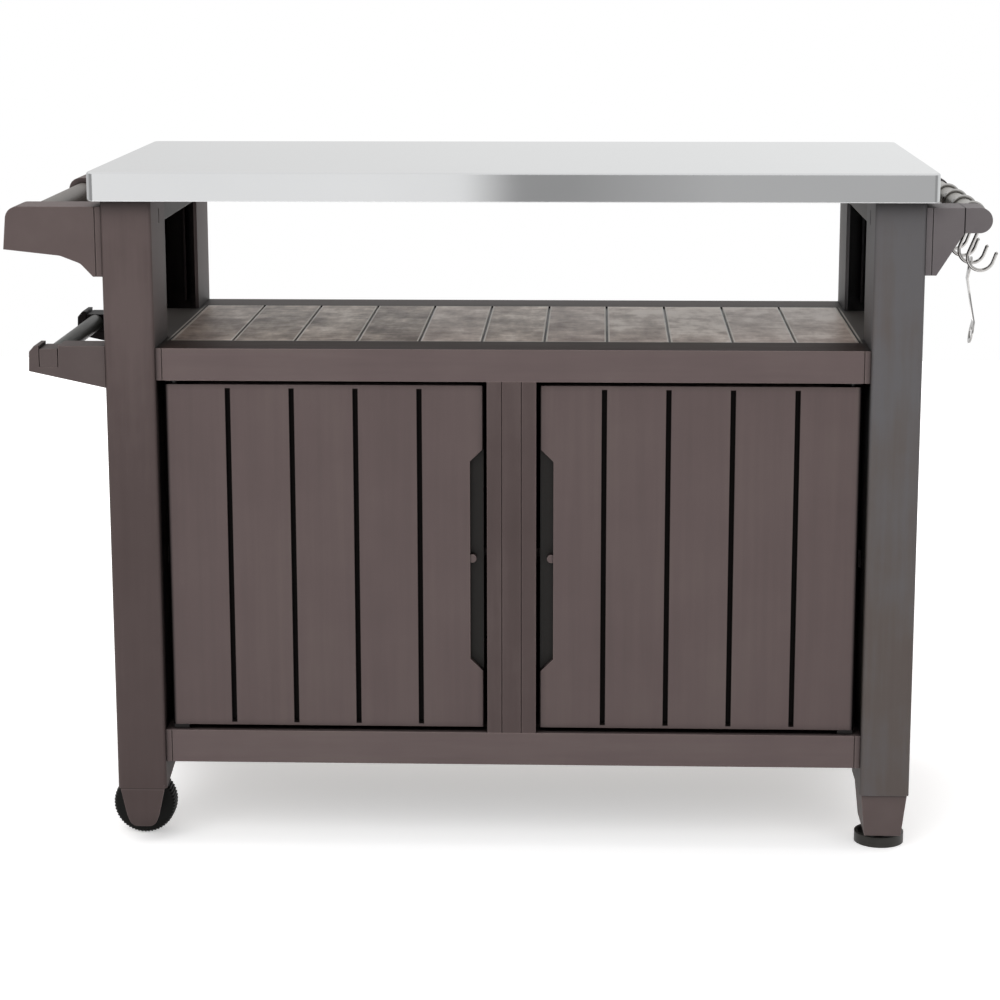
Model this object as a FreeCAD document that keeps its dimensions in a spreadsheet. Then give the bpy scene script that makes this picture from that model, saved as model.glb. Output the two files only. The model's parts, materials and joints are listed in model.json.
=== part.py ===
"""Grill cart with storage: a steel top on a resin cart with two doors, wheels, handle, towel bar and hooks.

X runs to the right along the cart, Y from the front to the back and Z up from the ground.
The origin is on the ground, in the middle of the whole cart's outline.
Lengths are millimetres.
"""
import FreeCAD, Part
import math
import os
import re

import Sketcher

from FreeCAD import Vector

document = FreeCAD.newDocument("GrillCart")

# Driving dimensions
SIZES = {
    # steel tabletop and the ribbed board under it
    "top_width": "1080",
    "top_depth": "540",
    "top_height": "902",
    "skirt_height": "37",
    "sheet_gauge": "1.2",
    "top_corner": "12",
    "top_fold": "2",
    "core_gap": "2",
    "core_recess": "3",
    "core_plate": "5",
    "core_rib": "4",
    "core_cells_across": "8",
    "core_cells_deep": "3",
    # four channel posts
    "side_overhang": "14",
    "front_overhang": "20",
    "post_width": "65",
    "post_depth": "110",
    "post_wall": "4.5",
    "post_round": "5",
    "post_low": "80",
    "post_rib": "3",
    "post_rib_depth": "16",
    "snap_slot_width": "5",
    "snap_slot_height": "19",
    "snap_slot_drop": "20",
    "snap_slot_inset": "62",
    "top_rail_height": "39",
    "rail_wall": "4",
    # plank shelf and its frame
    "shelf_height": "673",
    "shelf_thickness": "18",
    "shelf_ledge": "9",
    "shelf_planks": "11",
    "plank_groove": "3",
    "plank_groove_depth": "2.5",
    "shelf_rib": "4",
    "shelf_skin": "5",
    "beam_height": "42",
    "beam_depth": "70",
    "beam_setback": "7",
    "beam_skin": "5",
    "beam_cells": "4",
    "beam_cell_start": "44",
    "beam_cell_end": "412",
    "end_line_inset": "8",
    "line_width": "1.4",
    "line_depth": "1",
    # lower rails and cabinet walls
    "rail_bottom": "116",
    "rail_height": "44",
    "rail_depth": "40",
    "floor_thickness": "12",
    "floor_skin": "4",
    "panel_thickness": "18",
    "panel_setback": "11",
    "panel_tongue": "45",
    "panel_fit": "0.3",
    "side_planks": "4",
    "back_planks": "10",
    "panel_skin": "6",
    "panel_rib": "6",
    "tongue_ramp": "10",
    "partition_thickness": "12",
    "stile_width": "64",
    "stile_depth": "30",
    "stile_line_spacing": "25.6",
    "inner_shelf_height": "400",
    "inner_shelf_thickness": "12",
    "inner_shelf_skin": "3.5",
    "inner_shelf_setback": "24",
    "inner_shelf_gap": "11",
    "inner_shelf_play": "0.6",
    "cleat_size": "12",
    # doors
    "door_thickness": "22",
    "door_setback": "14",
    "door_gap": "6",
    "door_side_gap": "8.5",
    "door_centre_gap": "5",
    "door_round": "6",
    "door_edge": "1.5",
    "door_planks": "5",
    "door_groove": "5.5",
    "door_groove_depth": "4",
    "door_groove_margin": "7",
    "door_recess_rib": "6",
    "door_recess_depth": "14",
    "hinge_inset": "12",
    "pin_radius": "4",
    "pin_hold": "20",
    "pin_reach": "10",
    "bush_wall": "3",
    "bush_flange": "3",
    "bush_flange_height": "2",
    "pin_play": "0.06",
    "seat_gap": "0.3",
    "overrun": "1",
    "pull_width": "17.5",
    "pull_depth": "14",
    "pull_rise": "76",
    "pull_height": "300",
    "pull_slope": "17",
    "liner_thickness": "2",
    "peg_radius": "5.5",
    "peg_rise": "229",
    "catch_width": "24",
    "catch_depth": "12",
    "catch_height": "16",
    "catch_spacing": "60",
    # left handle
    "handle_drop": "9",
    "handle_reach": "127",
    "handle_depth": "70",
    "handle_setback": "4",
    "handle_tip_height": "55",
    "handle_tip_slant": "5",
    "handle_belly_start": "73",
    "handle_belly_drop": "63",
    "handle_throat_start": "99",
    "handle_throat_drop": "73",
    "handle_foot_height": "90",
    "handle_round": "16",
    "handle_nose": "8",
    "handle_slope_wall": "7",
    "bracket_wall": "5",
    "bracket_foot": "12",
    "bracket_line": "8",
    "grip_radius": "16",
    "grip_offset": "103",
    "grip_drop": "23",
    "boss_wall": "4",
    # towel bar on the left
    "towel_top": "676",
    "towel_reach": "99.5",
    "towel_depth": "48",
    "towel_setback": "3",
    "towel_tip_height": "33",
    "towel_root_height": "54.5",
    "towel_chamfer": "7.5",
    "towel_block": "23",
    "towel_block_offset": "62",
    "towel_block_sink": "4",
    "towel_play": "1.2",
    "towel_radius": "11",
    "towel_back_start": "80",
    "towel_pocket_wall": "6",
    "towel_root_wall": "9.6",
    "towel_tip_slant": "1",
    # utensil rail on the right
    "rail_bracket_depth": "62",
    "rail_bracket_setback": "3",
    "rail_bracket_drop": "8",
    "rail_bracket_reach": "48",
    "rail_bracket_height": "86",
    "rail_bracket_toe": "14",
    "rail_bracket_heel": "12",
    "cap_radius": "16",
    "cap_straight": "19",
    "hook_rail_radius": "13.5",
    "rail_hold": "50",
    # four hooks and the bottle opener
    "wire_radius": "2",
    "hook_play": "0.35",
    "hook_margin": "13",
    "hook_pitch": "84",
    "hook_bowl_radius": "17",
    "hook_bowl_offset": "13",
    "hook_bowl_drop": "55",
    "hook_bowl_end": "20",
    "hook_tip": "15",
    "hook_open_angle": "215",
    "hook_bend_step": "20",
    "opener_gauge": "2",
    "opener_head_radius": "12",
    "opener_hole_radius": "6",
    "opener_waist": "5.5",
    "opener_mouth_radius": "9",
    "opener_tail_radius": "15",
    "opener_length": "89",
    "opener_bend": "5",
    "opener_shoulder": "37",
    "opener_claw": "6.3",
    # wheels, forks and feet
    "tongue_top_width": "59",
    "tongue_width": "43",
    "tongue_shoulder": "43",
    "tongue_low": "27",
    "tongue_toe": "6",
    "tongue_round": "12",
    "flange_slant": "20",
    "wheel_radius": "42",
    "wheel_width": "34",
    "wheel_offset": "67",
    "wheel_outset": "7",
    "tread_depth": "2.5",
    "tread_grooves": "24",
    "tread_groove": "4.5",
    "tyre_thickness": "28",
    "hub_recess": "2",
    "axle_radius": "5",
    "axle_play": "0.06",
    "fork_clearance": "8",
    "fork_cheek": "9",
    "fork_side_gap": "3",
    "fork_fit": "0.1",
    "fork_eye": "15",
    "fork_toe": "8",
    "leg_foot_inset": "2.5",
    "leg_foot_taper": "6",
    "leg_foot_low": "22",
    "pad_radius": "33",
    "pad_height": "14",
    "pad_rim": "4",
    "pad_dish": "6",
    "stem_radius": "6",
    "stem_length": "40",
    "stem_play": "0.08",
}

# Heights and places that follow from the driving dimensions
PLACES = {
    "frame_width": "=Sizes.top_width - 2 * Sizes.side_overhang",
    "frame_depth": "=Sizes.top_depth - 2 * Sizes.front_overhang",
    "skirt_low": "=Sizes.top_height - Sizes.skirt_height",
    "sheet_under": "=Sizes.top_height - Sizes.sheet_gauge",
    "core_low": "=skirt_low + Sizes.core_recess",
    "core_side": "=Sizes.top_width / 2 - Sizes.sheet_gauge - Sizes.core_gap",
    "core_end": "=Sizes.top_depth / 2 - Sizes.sheet_gauge - Sizes.core_gap",
    "cell_width": "=(2 * core_side - Sizes.core_rib) / Sizes.core_cells_across",
    "cell_depth": "=(2 * core_end - Sizes.core_rib) / Sizes.core_cells_deep",
    "post_outer": "=frame_width / 2",
    "post_inner": "=post_outer - Sizes.post_width",
    "post_middle": "=post_outer - Sizes.post_width / 2",
    "frame_face": "=frame_depth / 2",
    "post_back": "=frame_face - Sizes.post_depth",
    "channel_half": "=Sizes.post_width / 2 - Sizes.post_wall",
    "beam_face": "=frame_face - Sizes.beam_setback",
    "beam_inner": "=beam_face - Sizes.beam_depth",
    "beam_low": "=Sizes.shelf_height - Sizes.beam_height",
    "beam_cell": "=(Sizes.beam_cell_end - Sizes.beam_cell_start) / Sizes.beam_cells",
    "shelf_low": "=Sizes.shelf_height - Sizes.shelf_thickness",
    "shelf_side": "=post_inner - Sizes.shelf_ledge",
    "plank_width": "=2 * shelf_side / Sizes.shelf_planks",
    "rail_top": "=Sizes.rail_bottom + Sizes.rail_height",
    "rail_inner": "=beam_face - Sizes.rail_depth",
    "floor_low": "=rail_top - Sizes.floor_thickness",
    "panel_outer": "=post_outer - Sizes.panel_setback",
    "panel_inner": "=panel_outer - Sizes.panel_thickness",
    "tongue_outer": "=post_outer - Sizes.post_wall - Sizes.panel_fit",
    "tongue_inner": "=post_inner + Sizes.post_wall + Sizes.panel_fit",
    "tongue_end": "=post_back + Sizes.panel_tongue",
    "side_plank": "=2 * post_back / Sizes.side_planks",
    "back_plank": "=2 * post_inner / Sizes.back_planks",
    "back_inner": "=beam_face - Sizes.panel_thickness",
    "stile_side": "=Sizes.stile_width / 2",
    "stile_back": "=beam_face - Sizes.stile_depth",
    "partition_side": "=Sizes.partition_thickness / 2",
    "shelf_board_low": "=Sizes.inner_shelf_height - Sizes.inner_shelf_thickness",
    "cleat_low": "=shelf_board_low - Sizes.cleat_size",
    "door_face": "=frame_face - Sizes.door_setback",
    "door_back": "=door_face - Sizes.door_thickness",
    "inner_shelf_front": "=door_back - Sizes.inner_shelf_setback",
    "inner_shelf_back": "=back_inner - Sizes.inner_shelf_gap",
    "door_low": "=rail_top + Sizes.door_gap",
    "door_top": "=beam_low - Sizes.door_gap",
    "door_outer": "=post_inner - Sizes.door_side_gap",
    "door_inner": "=stile_side + Sizes.door_centre_gap",
    "door_plank": "=(door_outer - door_inner) / Sizes.door_planks",
    "hinge_across": "=door_outer - Sizes.hinge_inset",
    "hinge_forward": "=door_face - Sizes.door_thickness / 2",
    "bush_half": "=Sizes.pin_radius + Sizes.bush_wall",
    "bush_depth": "=Sizes.pin_reach + Sizes.bush_wall",
    "pull_low": "=door_low + Sizes.pull_rise",
    "pull_top": "=pull_low + Sizes.pull_height",
    "pull_side": "=door_inner + Sizes.pull_width",
    "peg_height": "=door_low + Sizes.peg_rise",
    "handle_top": "=skirt_low - Sizes.handle_drop",
    "handle_face": "=frame_face - Sizes.handle_setback",
    "handle_open": "=handle_face - Sizes.handle_depth",
    "handle_end": "=post_outer + Sizes.handle_reach",
    "grip_across": "=post_outer + Sizes.grip_offset",
    "grip_height": "=handle_top - Sizes.grip_drop",
    "towel_face": "=frame_face - Sizes.towel_setback",
    "towel_across": "=post_outer + Sizes.towel_block_offset + Sizes.towel_block / 2",
    "towel_height": "=Sizes.towel_top - Sizes.towel_block_sink - Sizes.towel_block / 2",
    "towel_notch_low": "=towel_height - Sizes.towel_block / 2 - Sizes.seat_gap",
    "towel_back_end": "=Sizes.towel_back_start + Sizes.towel_depth",
    "rail_bracket_top": "=skirt_low - Sizes.rail_bracket_drop",
    "rail_bracket_face": "=frame_face - Sizes.rail_bracket_setback",
    "rail_bracket_open": "=rail_bracket_face - Sizes.rail_bracket_depth",
    "cap_start": "=post_outer + Sizes.rail_bracket_reach",
    "hook_first": "=rail_bracket_open - Sizes.hook_margin",
    "hook_rail_across": "=cap_start + Sizes.cap_straight",
    "hook_rail_height": "=rail_bracket_top - Sizes.cap_radius",
    "hook_loop_radius": "=Sizes.hook_rail_radius + Sizes.hook_play + Sizes.wire_radius",
    "bowl_across": "=hook_rail_across + Sizes.hook_bowl_offset",
    "bowl_height": "=hook_rail_height - Sizes.hook_bowl_drop",
    "bowl_low": "=bowl_height - Sizes.hook_bowl_radius",
    "hook_edge": "=(Sizes.hook_bowl_radius + Sizes.wire_radius) * cos(Sizes.hook_bowl_end * 1 deg)",
    "hook_reach": "=bowl_across + hook_edge + Sizes.hook_tip * sin(Sizes.hook_bowl_end * 1 deg)",
    "centring": "=(handle_end - hook_reach) / 2",
    "wheel_across": "=post_middle + Sizes.wheel_outset",
    "wheel_back": "=Sizes.wheel_offset + Sizes.wheel_width / 2",
    "wheel_front": "=Sizes.wheel_offset - Sizes.wheel_width / 2",
    "fork_low": "=2 * Sizes.wheel_radius + Sizes.fork_clearance",
    "plug_top": "=Sizes.rail_bottom - Sizes.panel_fit",
    "cheek_front": "=wheel_front - Sizes.fork_side_gap - Sizes.fork_cheek",
    "cheek_back": "=wheel_back + Sizes.fork_side_gap + Sizes.fork_cheek",
    "plug_half": "=channel_half - Sizes.fork_fit",
    "stem_top": "=Sizes.leg_foot_low + Sizes.stem_length",
}


def add_sheet(name, rows):
    """Spreadsheet with one aliased cell for each row."""
    page = document.addObject("Spreadsheet::Sheet", name)
    for line, (alias, content) in enumerate(rows.items(), start=1):
        page.set(f"A{line}", alias)
        page.set(f"B{line}", content)
        page.setAlias(f"B{line}", alias)
    document.recompute()
    return page


sizes = add_sheet("Sizes", SIZES)
places = add_sheet("Places", PLACES)


def linked(text):
    """Expression in which each plain name of a size or a place points at its sheet."""
    def owner(match):
        word = match.group()
        if word in SIZES:
            return "Sizes." + word
        if word in PLACES:
            return "Places." + word
        return word
    return re.sub(r"[a-z_]+", owner, text)


def size(name):
    """Number held for a driving dimension or a place."""
    return float(sizes.get(name) if name in SIZES else places.get(name))


def put(piece, label, across="centring", back="0", up="0"):
    """Name a piece and tie its place to the sheets."""
    piece.Label = label
    piece.setExpression(".Placement.Base.x", linked(across))
    piece.setExpression(".Placement.Base.y", linked(back))
    piece.setExpression(".Placement.Base.z", linked(up))
    pieces.append(piece)
    return piece


pieces = []

# Sketched bodies


def start_body(label, across="centring", back="0", up="0"):
    """Empty body at its place."""
    return put(document.addObject("PartDesign::Body", label), label, across, back, up)


def draw_corners(sketch, corners):
    """Closed run of straight lines with every corner tied to the sheets."""
    first = sketch.GeometryCount
    count = len(corners)
    turns = [2 * math.pi * index / count for index in range(count)]
    loose = [Vector(50 * math.cos(turn), 50 * math.sin(turn), 0) for turn in turns]
    for index in range(count):
        sketch.addGeometry(Part.LineSegment(loose[index], loose[(index + 1) % count]), False)
    for index in range(count):
        following = first + (index + 1) % count
        sketch.addConstraint(Sketcher.Constraint("Coincident", first + index, 2, following, 1))
    for index, (along, up) in enumerate(corners):
        for kind, text, start in (("DistanceX", along, loose[index].x), ("DistanceY", up, loose[index].y)):
            number = sketch.addConstraint(Sketcher.Constraint(kind, -1, 1, first + index, 1, start))
            sketch.setExpression(f"Constraints[{number}]", linked(text))


def draw_circle(sketch, along, up, radius):
    """Circle with its centre and radius tied to the sheets."""
    number = sketch.addGeometry(Part.Circle(Vector(10, 10, 0), Vector(0, 0, 1), 10), False)
    held = (("DistanceX", along), ("DistanceY", up))
    for kind, text in held:
        index = sketch.addConstraint(Sketcher.Constraint(kind, -1, 1, number, 3, 10))
        sketch.setExpression(f"Constraints[{index}]", linked(text))
    index = sketch.addConstraint(Sketcher.Constraint("Radius", number, 10))
    sketch.setExpression(f"Constraints[{index}]", linked(radius))


def own_plane(body, role):
    """One of the body's own origin planes, as an attachment."""
    return next(item for item in body.Origin.OriginFeatures if item.Role == role), [""]


def outline(body, plane, level, *shapes):
    """Sketch on one of the body's own planes, moved by level; a shape is a list of corners or a circle."""
    sketch = body.newObject("Sketcher::SketchObject", "Outline")
    sketch.AttachmentSupport = own_plane(body, plane)
    sketch.MapMode = "FlatFace"
    sketch.setExpression(".AttachmentOffset.Base.z", linked(level))
    for shape in shapes:
        if isinstance(shape, tuple):
            draw_circle(sketch, *shape)
        else:
            draw_corners(sketch, shape)
    return sketch


def rectangle(left, right, low, high):
    """Corners of an upright rectangle."""
    return [(left, low), (right, low), (right, high), (left, high)]


def pad(body, sketch, length):
    """Solid raised from a sketch along its normal: +Z, -Y or +X."""
    feature = body.newObject("PartDesign::Pad", "Pad")
    feature.Profile = sketch
    feature.setExpression("Length", linked(length))
    return feature


def cut(body, sketch, depth, forward=False):
    """Pocket cut against the sketch's normal, or along it when forward is set."""
    feature = body.newObject("PartDesign::Pocket", "Pocket")
    feature.Profile = sketch
    feature.Reversed = forward
    feature.setExpression("Length", linked(depth))
    return feature


def repeat(body, feature, sketch, axis, length, count):
    """Row of copies of a feature along one of its sketch's axes; length is from first to last."""
    row = body.newObject("PartDesign::LinearPattern", "Row")
    row.Originals = [feature]
    row.Direction = (sketch, [axis])
    row.setExpression("Length", linked(length))
    row.setExpression("Occurrences", linked(count))
    body.Tip = row
    return row


def round_edges(body, amount, chosen, kind="Fillet"):
    """Fillet or chamfer on the edges of the body's last feature that the test chooses."""
    document.recompute()
    base = body.Tip
    names = [f"Edge{number}" for number, edge in enumerate(base.Shape.Edges, start=1) if chosen(edge)]
    eased = body.newObject("PartDesign::" + kind, "Eased")
    eased.Base = (base, names)
    eased.setExpression("Radius" if kind == "Fillet" else "Size", linked(amount))
    body.Tip = eased
    return eased


def runs_along(edge, direction):
    """True for a straight edge parallel to a direction."""
    if not isinstance(edge.Curve, Part.Line):
        return False
    return abs(edge.tangentAt(edge.FirstParameter).dot(direction)) > 0.999


def near(value, target):
    return abs(value - target) < 0.01


ALONG_X = Vector(1, 0, 0)
ALONG_Y = Vector(0, 1, 0)
ALONG_Z = Vector(0, 0, 1)

# Solids made with plain functions of the sheets' numbers


def finished(shape, label, across="centring", back="0", up="0"):
    """Piece whose shape is worked out here and then put in its place."""
    piece = document.addObject("Part::Feature", label)
    piece.Shape = shape
    return put(piece, label, across, back, up)


def rod(label, radius, length, across, back, up):
    """Round bar lying front to back, from its front end."""
    bar = document.addObject("Part::Cylinder", label)
    bar.setExpression("Radius", linked(radius))
    bar.setExpression("Height", linked(length))
    bar.Placement.Rotation = FreeCAD.Rotation(ALONG_X, -90)
    return put(bar, label, across, back, up)


# Steel tabletop: a folded tray, open underneath


def rounded_block(name, inset, corner, fold, low, top):
    """Block with rounded upright corners and a small slanted fold along its upper edge."""
    block = document.addObject("Part::Box", name)
    block.setExpression("Length", linked(f"top_width - 2 * ({inset})"))
    block.setExpression("Width", linked(f"top_depth - 2 * ({inset})"))
    block.setExpression("Height", linked(f"{top} - ({low})"))
    block.setExpression(".Placement.Base.x", linked(f"{inset} - top_width / 2"))
    block.setExpression(".Placement.Base.y", linked(f"{inset} - top_depth / 2"))
    block.setExpression(".Placement.Base.z", linked(low))
    document.recompute()
    edges = list(enumerate(block.Shape.Edges, start=1))
    upright = [number for number, edge in edges if runs_along(edge, ALONG_Z)]
    shaped = document.addObject("Part::Fillet", name + "Corners")
    shaped.Base = block
    shaped.Edges = [(number, corner, corner) for number in upright]
    document.recompute()
    height = shaped.Shape.BoundBox.ZMax
    edges = list(enumerate(shaped.Shape.Edges, start=1))
    upper = [number for number, edge in edges if near(edge.BoundBox.ZMin, height)]
    folded = document.addObject("Part::Chamfer", name + "Fold")
    folded.Base = shaped
    folded.Edges = [(number, fold, fold) for number in upper]
    return folded


gauge = size("sheet_gauge")
tray = document.addObject("Part::Cut", "TableTop")
tray.Base = rounded_block("Sheet", "0", size("top_corner"), size("top_fold"), "skirt_low", "top_height")
tray.Tool = rounded_block("Hollow", "sheet_gauge", size("top_corner") - gauge, size("top_fold") - gauge / 2,
                          "skirt_low - sheet_gauge", "sheet_under")
put(tray, "table_top")

# Ribbed board that stiffens the sheet and sits on the posts
core = start_body("table_core")
plan = rectangle("-core_side", "core_side", "-core_end", "core_end")
pad(core, outline(core, "XY_Plane", "core_low", plan), "sheet_under - core_low")
round_edges(core, "top_corner - sheet_gauge", lambda edge: runs_along(edge, ALONG_Z))
cell = outline(core, "XY_Plane", "core_low", rectangle("core_rib - core_side", "cell_width - core_side",
                                                        "core_rib - core_end", "cell_depth - core_end"))
pocket = cut(core, cell, "sheet_under - core_low - core_plate", forward=True)
across = core.newObject("PartDesign::MultiTransform", "Grid")
across.Originals = [pocket]
core.Tip = across
steps = []
grid = (("H_Axis", "cell_width", "core_cells_across"), ("V_Axis", "cell_depth", "core_cells_deep"))
for axis, pitch, count in grid:
    step = core.newObject("PartDesign::LinearPattern", "Step")
    step.Direction = (cell, [axis])
    step.setExpression("Length", linked(f"{pitch} * ({count} - 1)"))
    step.setExpression("Occurrences", linked(count))
    steps.append(step)
across.Transformations = steps
core.Tip = across
seats = []
for left, right in (("-post_outer", "-post_inner"), ("post_inner", "post_outer")):
    seats.append(rectangle(left, right, "-frame_face", "-post_back"))
    seats.append(rectangle(left, right, "post_back", "frame_face"))
pad(core, outline(core, "XY_Plane", "core_low", *seats), "sheet_under - core_low")

# Posts: channels closed on the outside of the cart and open towards its middle


def post(label, side, end, wheeled):
    """Channel post; side is -1 on the left and end is -1 at the front."""
    body = start_body(label, f"centring + {side} * post_middle", f"{end} * frame_face")
    body.Placement.Rotation = FreeCAD.Rotation(ALONG_Z, 0 if end < 0 else 180)
    half = "post_width / 2"
    channel = [(f"-{half}", "0"), (half, "0"), (half, "post_depth"), ("channel_half", "post_depth"),
               ("channel_half", "post_wall"), ("-channel_half", "post_wall"),
               ("-channel_half", "post_depth"), (f"-{half}", "post_depth")]
    pad(body, outline(body, "XY_Plane", "post_low", channel), "core_low - post_low")
    outer_corner = size("post_width") / 2
    round_edges(body, "post_round",
                lambda edge: runs_along(edge, ALONG_Z) and near(abs(edge.BoundBox.XMin), outer_corner)
                and near(edge.BoundBox.YMin, 0))
    lid = rectangle("-channel_half", "channel_half", "post_wall", "post_depth")
    pad(body, outline(body, "XY_Plane", "core_low - post_wall", lid), "post_wall")
    rib = rectangle("-post_rib / 2", "post_rib / 2", "post_wall", "post_wall + post_rib_depth")
    pad(body, outline(body, "XY_Plane", "shelf_height", rib), "core_low - shelf_height")
    slot = rectangle("snap_slot_inset", "snap_slot_inset + snap_slot_width",
                     "core_low - snap_slot_drop - snap_slot_height", "core_low - snap_slot_drop")
    cut(body, outline(body, "YZ_Plane", "post_width", slot), "2 * post_width")
    if wheeled:
        root, side = "tongue_top_width / 2", "tongue_width / 2"
        tongue = [(f"-{root}", "post_low"), (f"-{side}", "tongue_shoulder"),
                  (f"tongue_toe - {side}", "tongue_low"), (f"{side} - tongue_toe", "tongue_low"),
                  (side, "tongue_shoulder"), (root, "post_low"),
                  (root, "post_low + post_wall"), (f"-{root}", "post_low + post_wall")]
        pad(body, outline(body, "XZ_Plane", "-post_wall", tongue), "post_wall")
        low = size("tongue_low")
        round_edges(body, "tongue_round",
                    lambda edge: runs_along(edge, ALONG_Y) and near(edge.BoundBox.ZMin, low))
        start, stop = "post_wall + overrun", "post_depth + overrun"
        slant = [(start, "post_low - overrun"), (stop, "post_low - overrun"),
                 (stop, "post_low + flange_slant"), (start, "post_low")]
        cut(body, outline(body, "YZ_Plane", "post_width", slant), "2 * post_width")
    return body


for side, wheeled, name in ((-1, True, "left"), (1, False, "right")):
    post(f"post_front_{name}", side, -1, wheeled)
    post(f"post_back_{name}", side, 1, wheeled)

# Rails under the tabletop between the front and back posts: channels open downwards
for side, name in ((-1, "left"), (1, "right")):
    rail = start_body(f"top_side_rail_{name}", f"centring + {side} * post_middle")
    half = "post_width / 2"
    low, under = "core_low - top_rail_height", "core_low - rail_wall"
    channel = [(f"-{half}", low), (f"-{half}", "core_low"), (half, "core_low"), (half, low),
               (f"{half} - rail_wall", low), (f"{half} - rail_wall", under),
               (f"rail_wall - {half}", under), (f"rail_wall - {half}", low)]
    pad(rail, outline(rail, "XZ_Plane", "-post_back", channel), "2 * post_back")

# Plank shelf: grooves between the planks above, a row of ribbed cells below
shelf = start_body("shelf_panel")
board = rectangle("-shelf_side", "shelf_side", "-beam_inner", "beam_inner")
pad(shelf, outline(shelf, "XY_Plane", "shelf_low", board), "shelf_thickness")
groove = outline(shelf, "XY_Plane", "shelf_height",
                 rectangle("plank_width - shelf_side - plank_groove / 2",
                           "plank_width - shelf_side + plank_groove / 2",
                           "-beam_inner - overrun", "beam_inner + overrun"))
repeat(shelf, cut(shelf, groove, "plank_groove_depth"), groove, "H_Axis",
       "plank_width * (shelf_planks - 2)", "shelf_planks - 1")
for low, high in (("shelf_rib - beam_inner", "-shelf_rib / 2"), ("shelf_rib / 2", "beam_inner - shelf_rib")):
    start, stop = "shelf_rib * 3 / 2 - shelf_side", "plank_width - shelf_side - shelf_rib / 2"
    cell = outline(shelf, "XY_Plane", "shelf_low", rectangle(start, stop, low, high))
    repeat(shelf, cut(shelf, cell, "shelf_thickness - shelf_skin - plank_groove_depth", forward=True), cell,
           "H_Axis", "plank_width * (shelf_planks - 1) - shelf_rib", "shelf_planks")


def cross_beam(label, end, low, height, depth, bored):
    """Beam between the posts, ribbed underneath, with seats for bushes where a door hangs."""
    beam = start_body(label)
    inner = f"(beam_face - {depth})"
    near_side, far_side = (f"-{inner}", "-beam_face") if end < 0 else ("beam_face", inner)
    level = inner if end < 0 else "-beam_face"
    front = rectangle("-post_inner", "post_inner", low, f"{low} + {height}")
    pad(beam, outline(beam, "XZ_Plane", level, front), depth)
    edges = sorted((near_side, far_side), key=lambda text: text.startswith("-beam"))
    cell_front = f"{edges[0]} - beam_skin" if end < 0 else f"{inner} + beam_skin"
    cell_back = "beam_skin - beam_face" if end < 0 else "beam_face - beam_skin"
    for side in ("-1", "1"):
        start = f"{side} * (beam_cell_start + beam_skin / 2)"
        stop = f"{side} * (beam_cell_start + beam_cell - beam_skin / 2)"
        cell = outline(beam, "XY_Plane", low, rectangle(start, stop, cell_front, cell_back))
        row = repeat(beam, cut(beam, cell, f"{height} - beam_skin", forward=True), cell, "H_Axis",
                     "beam_cell * (beam_cells - 1)", "beam_cells")
        row.Reversed = side == "-1"
    if end < 0:
        for side in ("-1", "1"):
            middle = f"{side} * (post_inner - end_line_inset)"
            line = rectangle(f"{middle} - line_width / 2", f"{middle} + line_width / 2",
                             f"{low} - overrun", f"{low} + {height} + overrun")
            cut(beam, outline(beam, "XZ_Plane", "beam_face", line), "line_depth")
            seat = rectangle(f"{side} * hinge_across - bush_half", f"{side} * hinge_across + bush_half",
                             "-hinge_forward - bush_half", "bush_half - hinge_forward")
            if bored == "under":
                cut(beam, outline(beam, "XY_Plane", low, seat), "bush_depth", forward=True)
            if bored == "over":
                cut(beam, outline(beam, "XY_Plane", f"{low} + {height}", seat), "bush_depth")
    return beam


cross_beam("shelf_front_beam", -1, "beam_low", "beam_height", "beam_depth", "under")
cross_beam("shelf_back_beam", 1, "beam_low", "beam_height", "beam_depth", "")
cross_beam("bottom_front_rail", -1, "rail_bottom", "rail_height", "rail_depth", "over")
cross_beam("bottom_back_rail", 1, "rail_bottom", "rail_height", "rail_depth", "")

# Side rails of the shelf, between the posts
for side, name in ((-1, "left"), (1, "right")):
    rail = start_body(f"shelf_side_rail_{name}")
    lip = rectangle(f"{side} * shelf_side", f"{side} * post_inner", "beam_low", "shelf_height")
    pad(rail, outline(rail, "XZ_Plane", "-beam_inner", lip), "2 * beam_inner")
    wide = rectangle(f"{side} * post_inner", f"{side} * post_outer", "beam_low", "shelf_height")
    pad(rail, outline(rail, "XZ_Plane", "-post_back", wide), "2 * post_back")
    hollow = rectangle(f"{side} * (post_inner + rail_wall)", f"{side} * (panel_inner - rail_wall)",
                       "rail_wall - post_back", "post_back - rail_wall")
    cut(rail, outline(rail, "XY_Plane", "beam_low", hollow), "beam_height - beam_skin", forward=True)

# Cabinet floor, notched round the posts
floor = start_body("cabinet_floor")
plan = [("-post_inner", "-rail_inner"), ("post_inner", "-rail_inner"), ("post_inner", "-post_back"),
        ("panel_inner", "-post_back"), ("panel_inner", "post_back"), ("post_inner", "post_back"),
        ("post_inner", "rail_inner"), ("-post_inner", "rail_inner"), ("-post_inner", "post_back"),
        ("-panel_inner", "post_back"), ("-panel_inner", "-post_back"), ("-post_inner", "-post_back")]
pad(floor, outline(floor, "XY_Plane", "floor_low", plan), "floor_thickness")
for side in ("-1", "1"):
    cell = outline(floor, "XY_Plane", "floor_low",
                   rectangle(f"{side} * (beam_cell_start + beam_skin / 2)",
                             f"{side} * (beam_cell_start + beam_cell - beam_skin / 2)",
                             "beam_skin - rail_inner", "rail_inner - beam_skin"))
    row = repeat(floor, cut(floor, cell, "floor_thickness - floor_skin", forward=True), cell, "H_Axis",
                 "beam_cell * (beam_cells - 1)", "beam_cells")
    row.Reversed = side == "-1"

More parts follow.
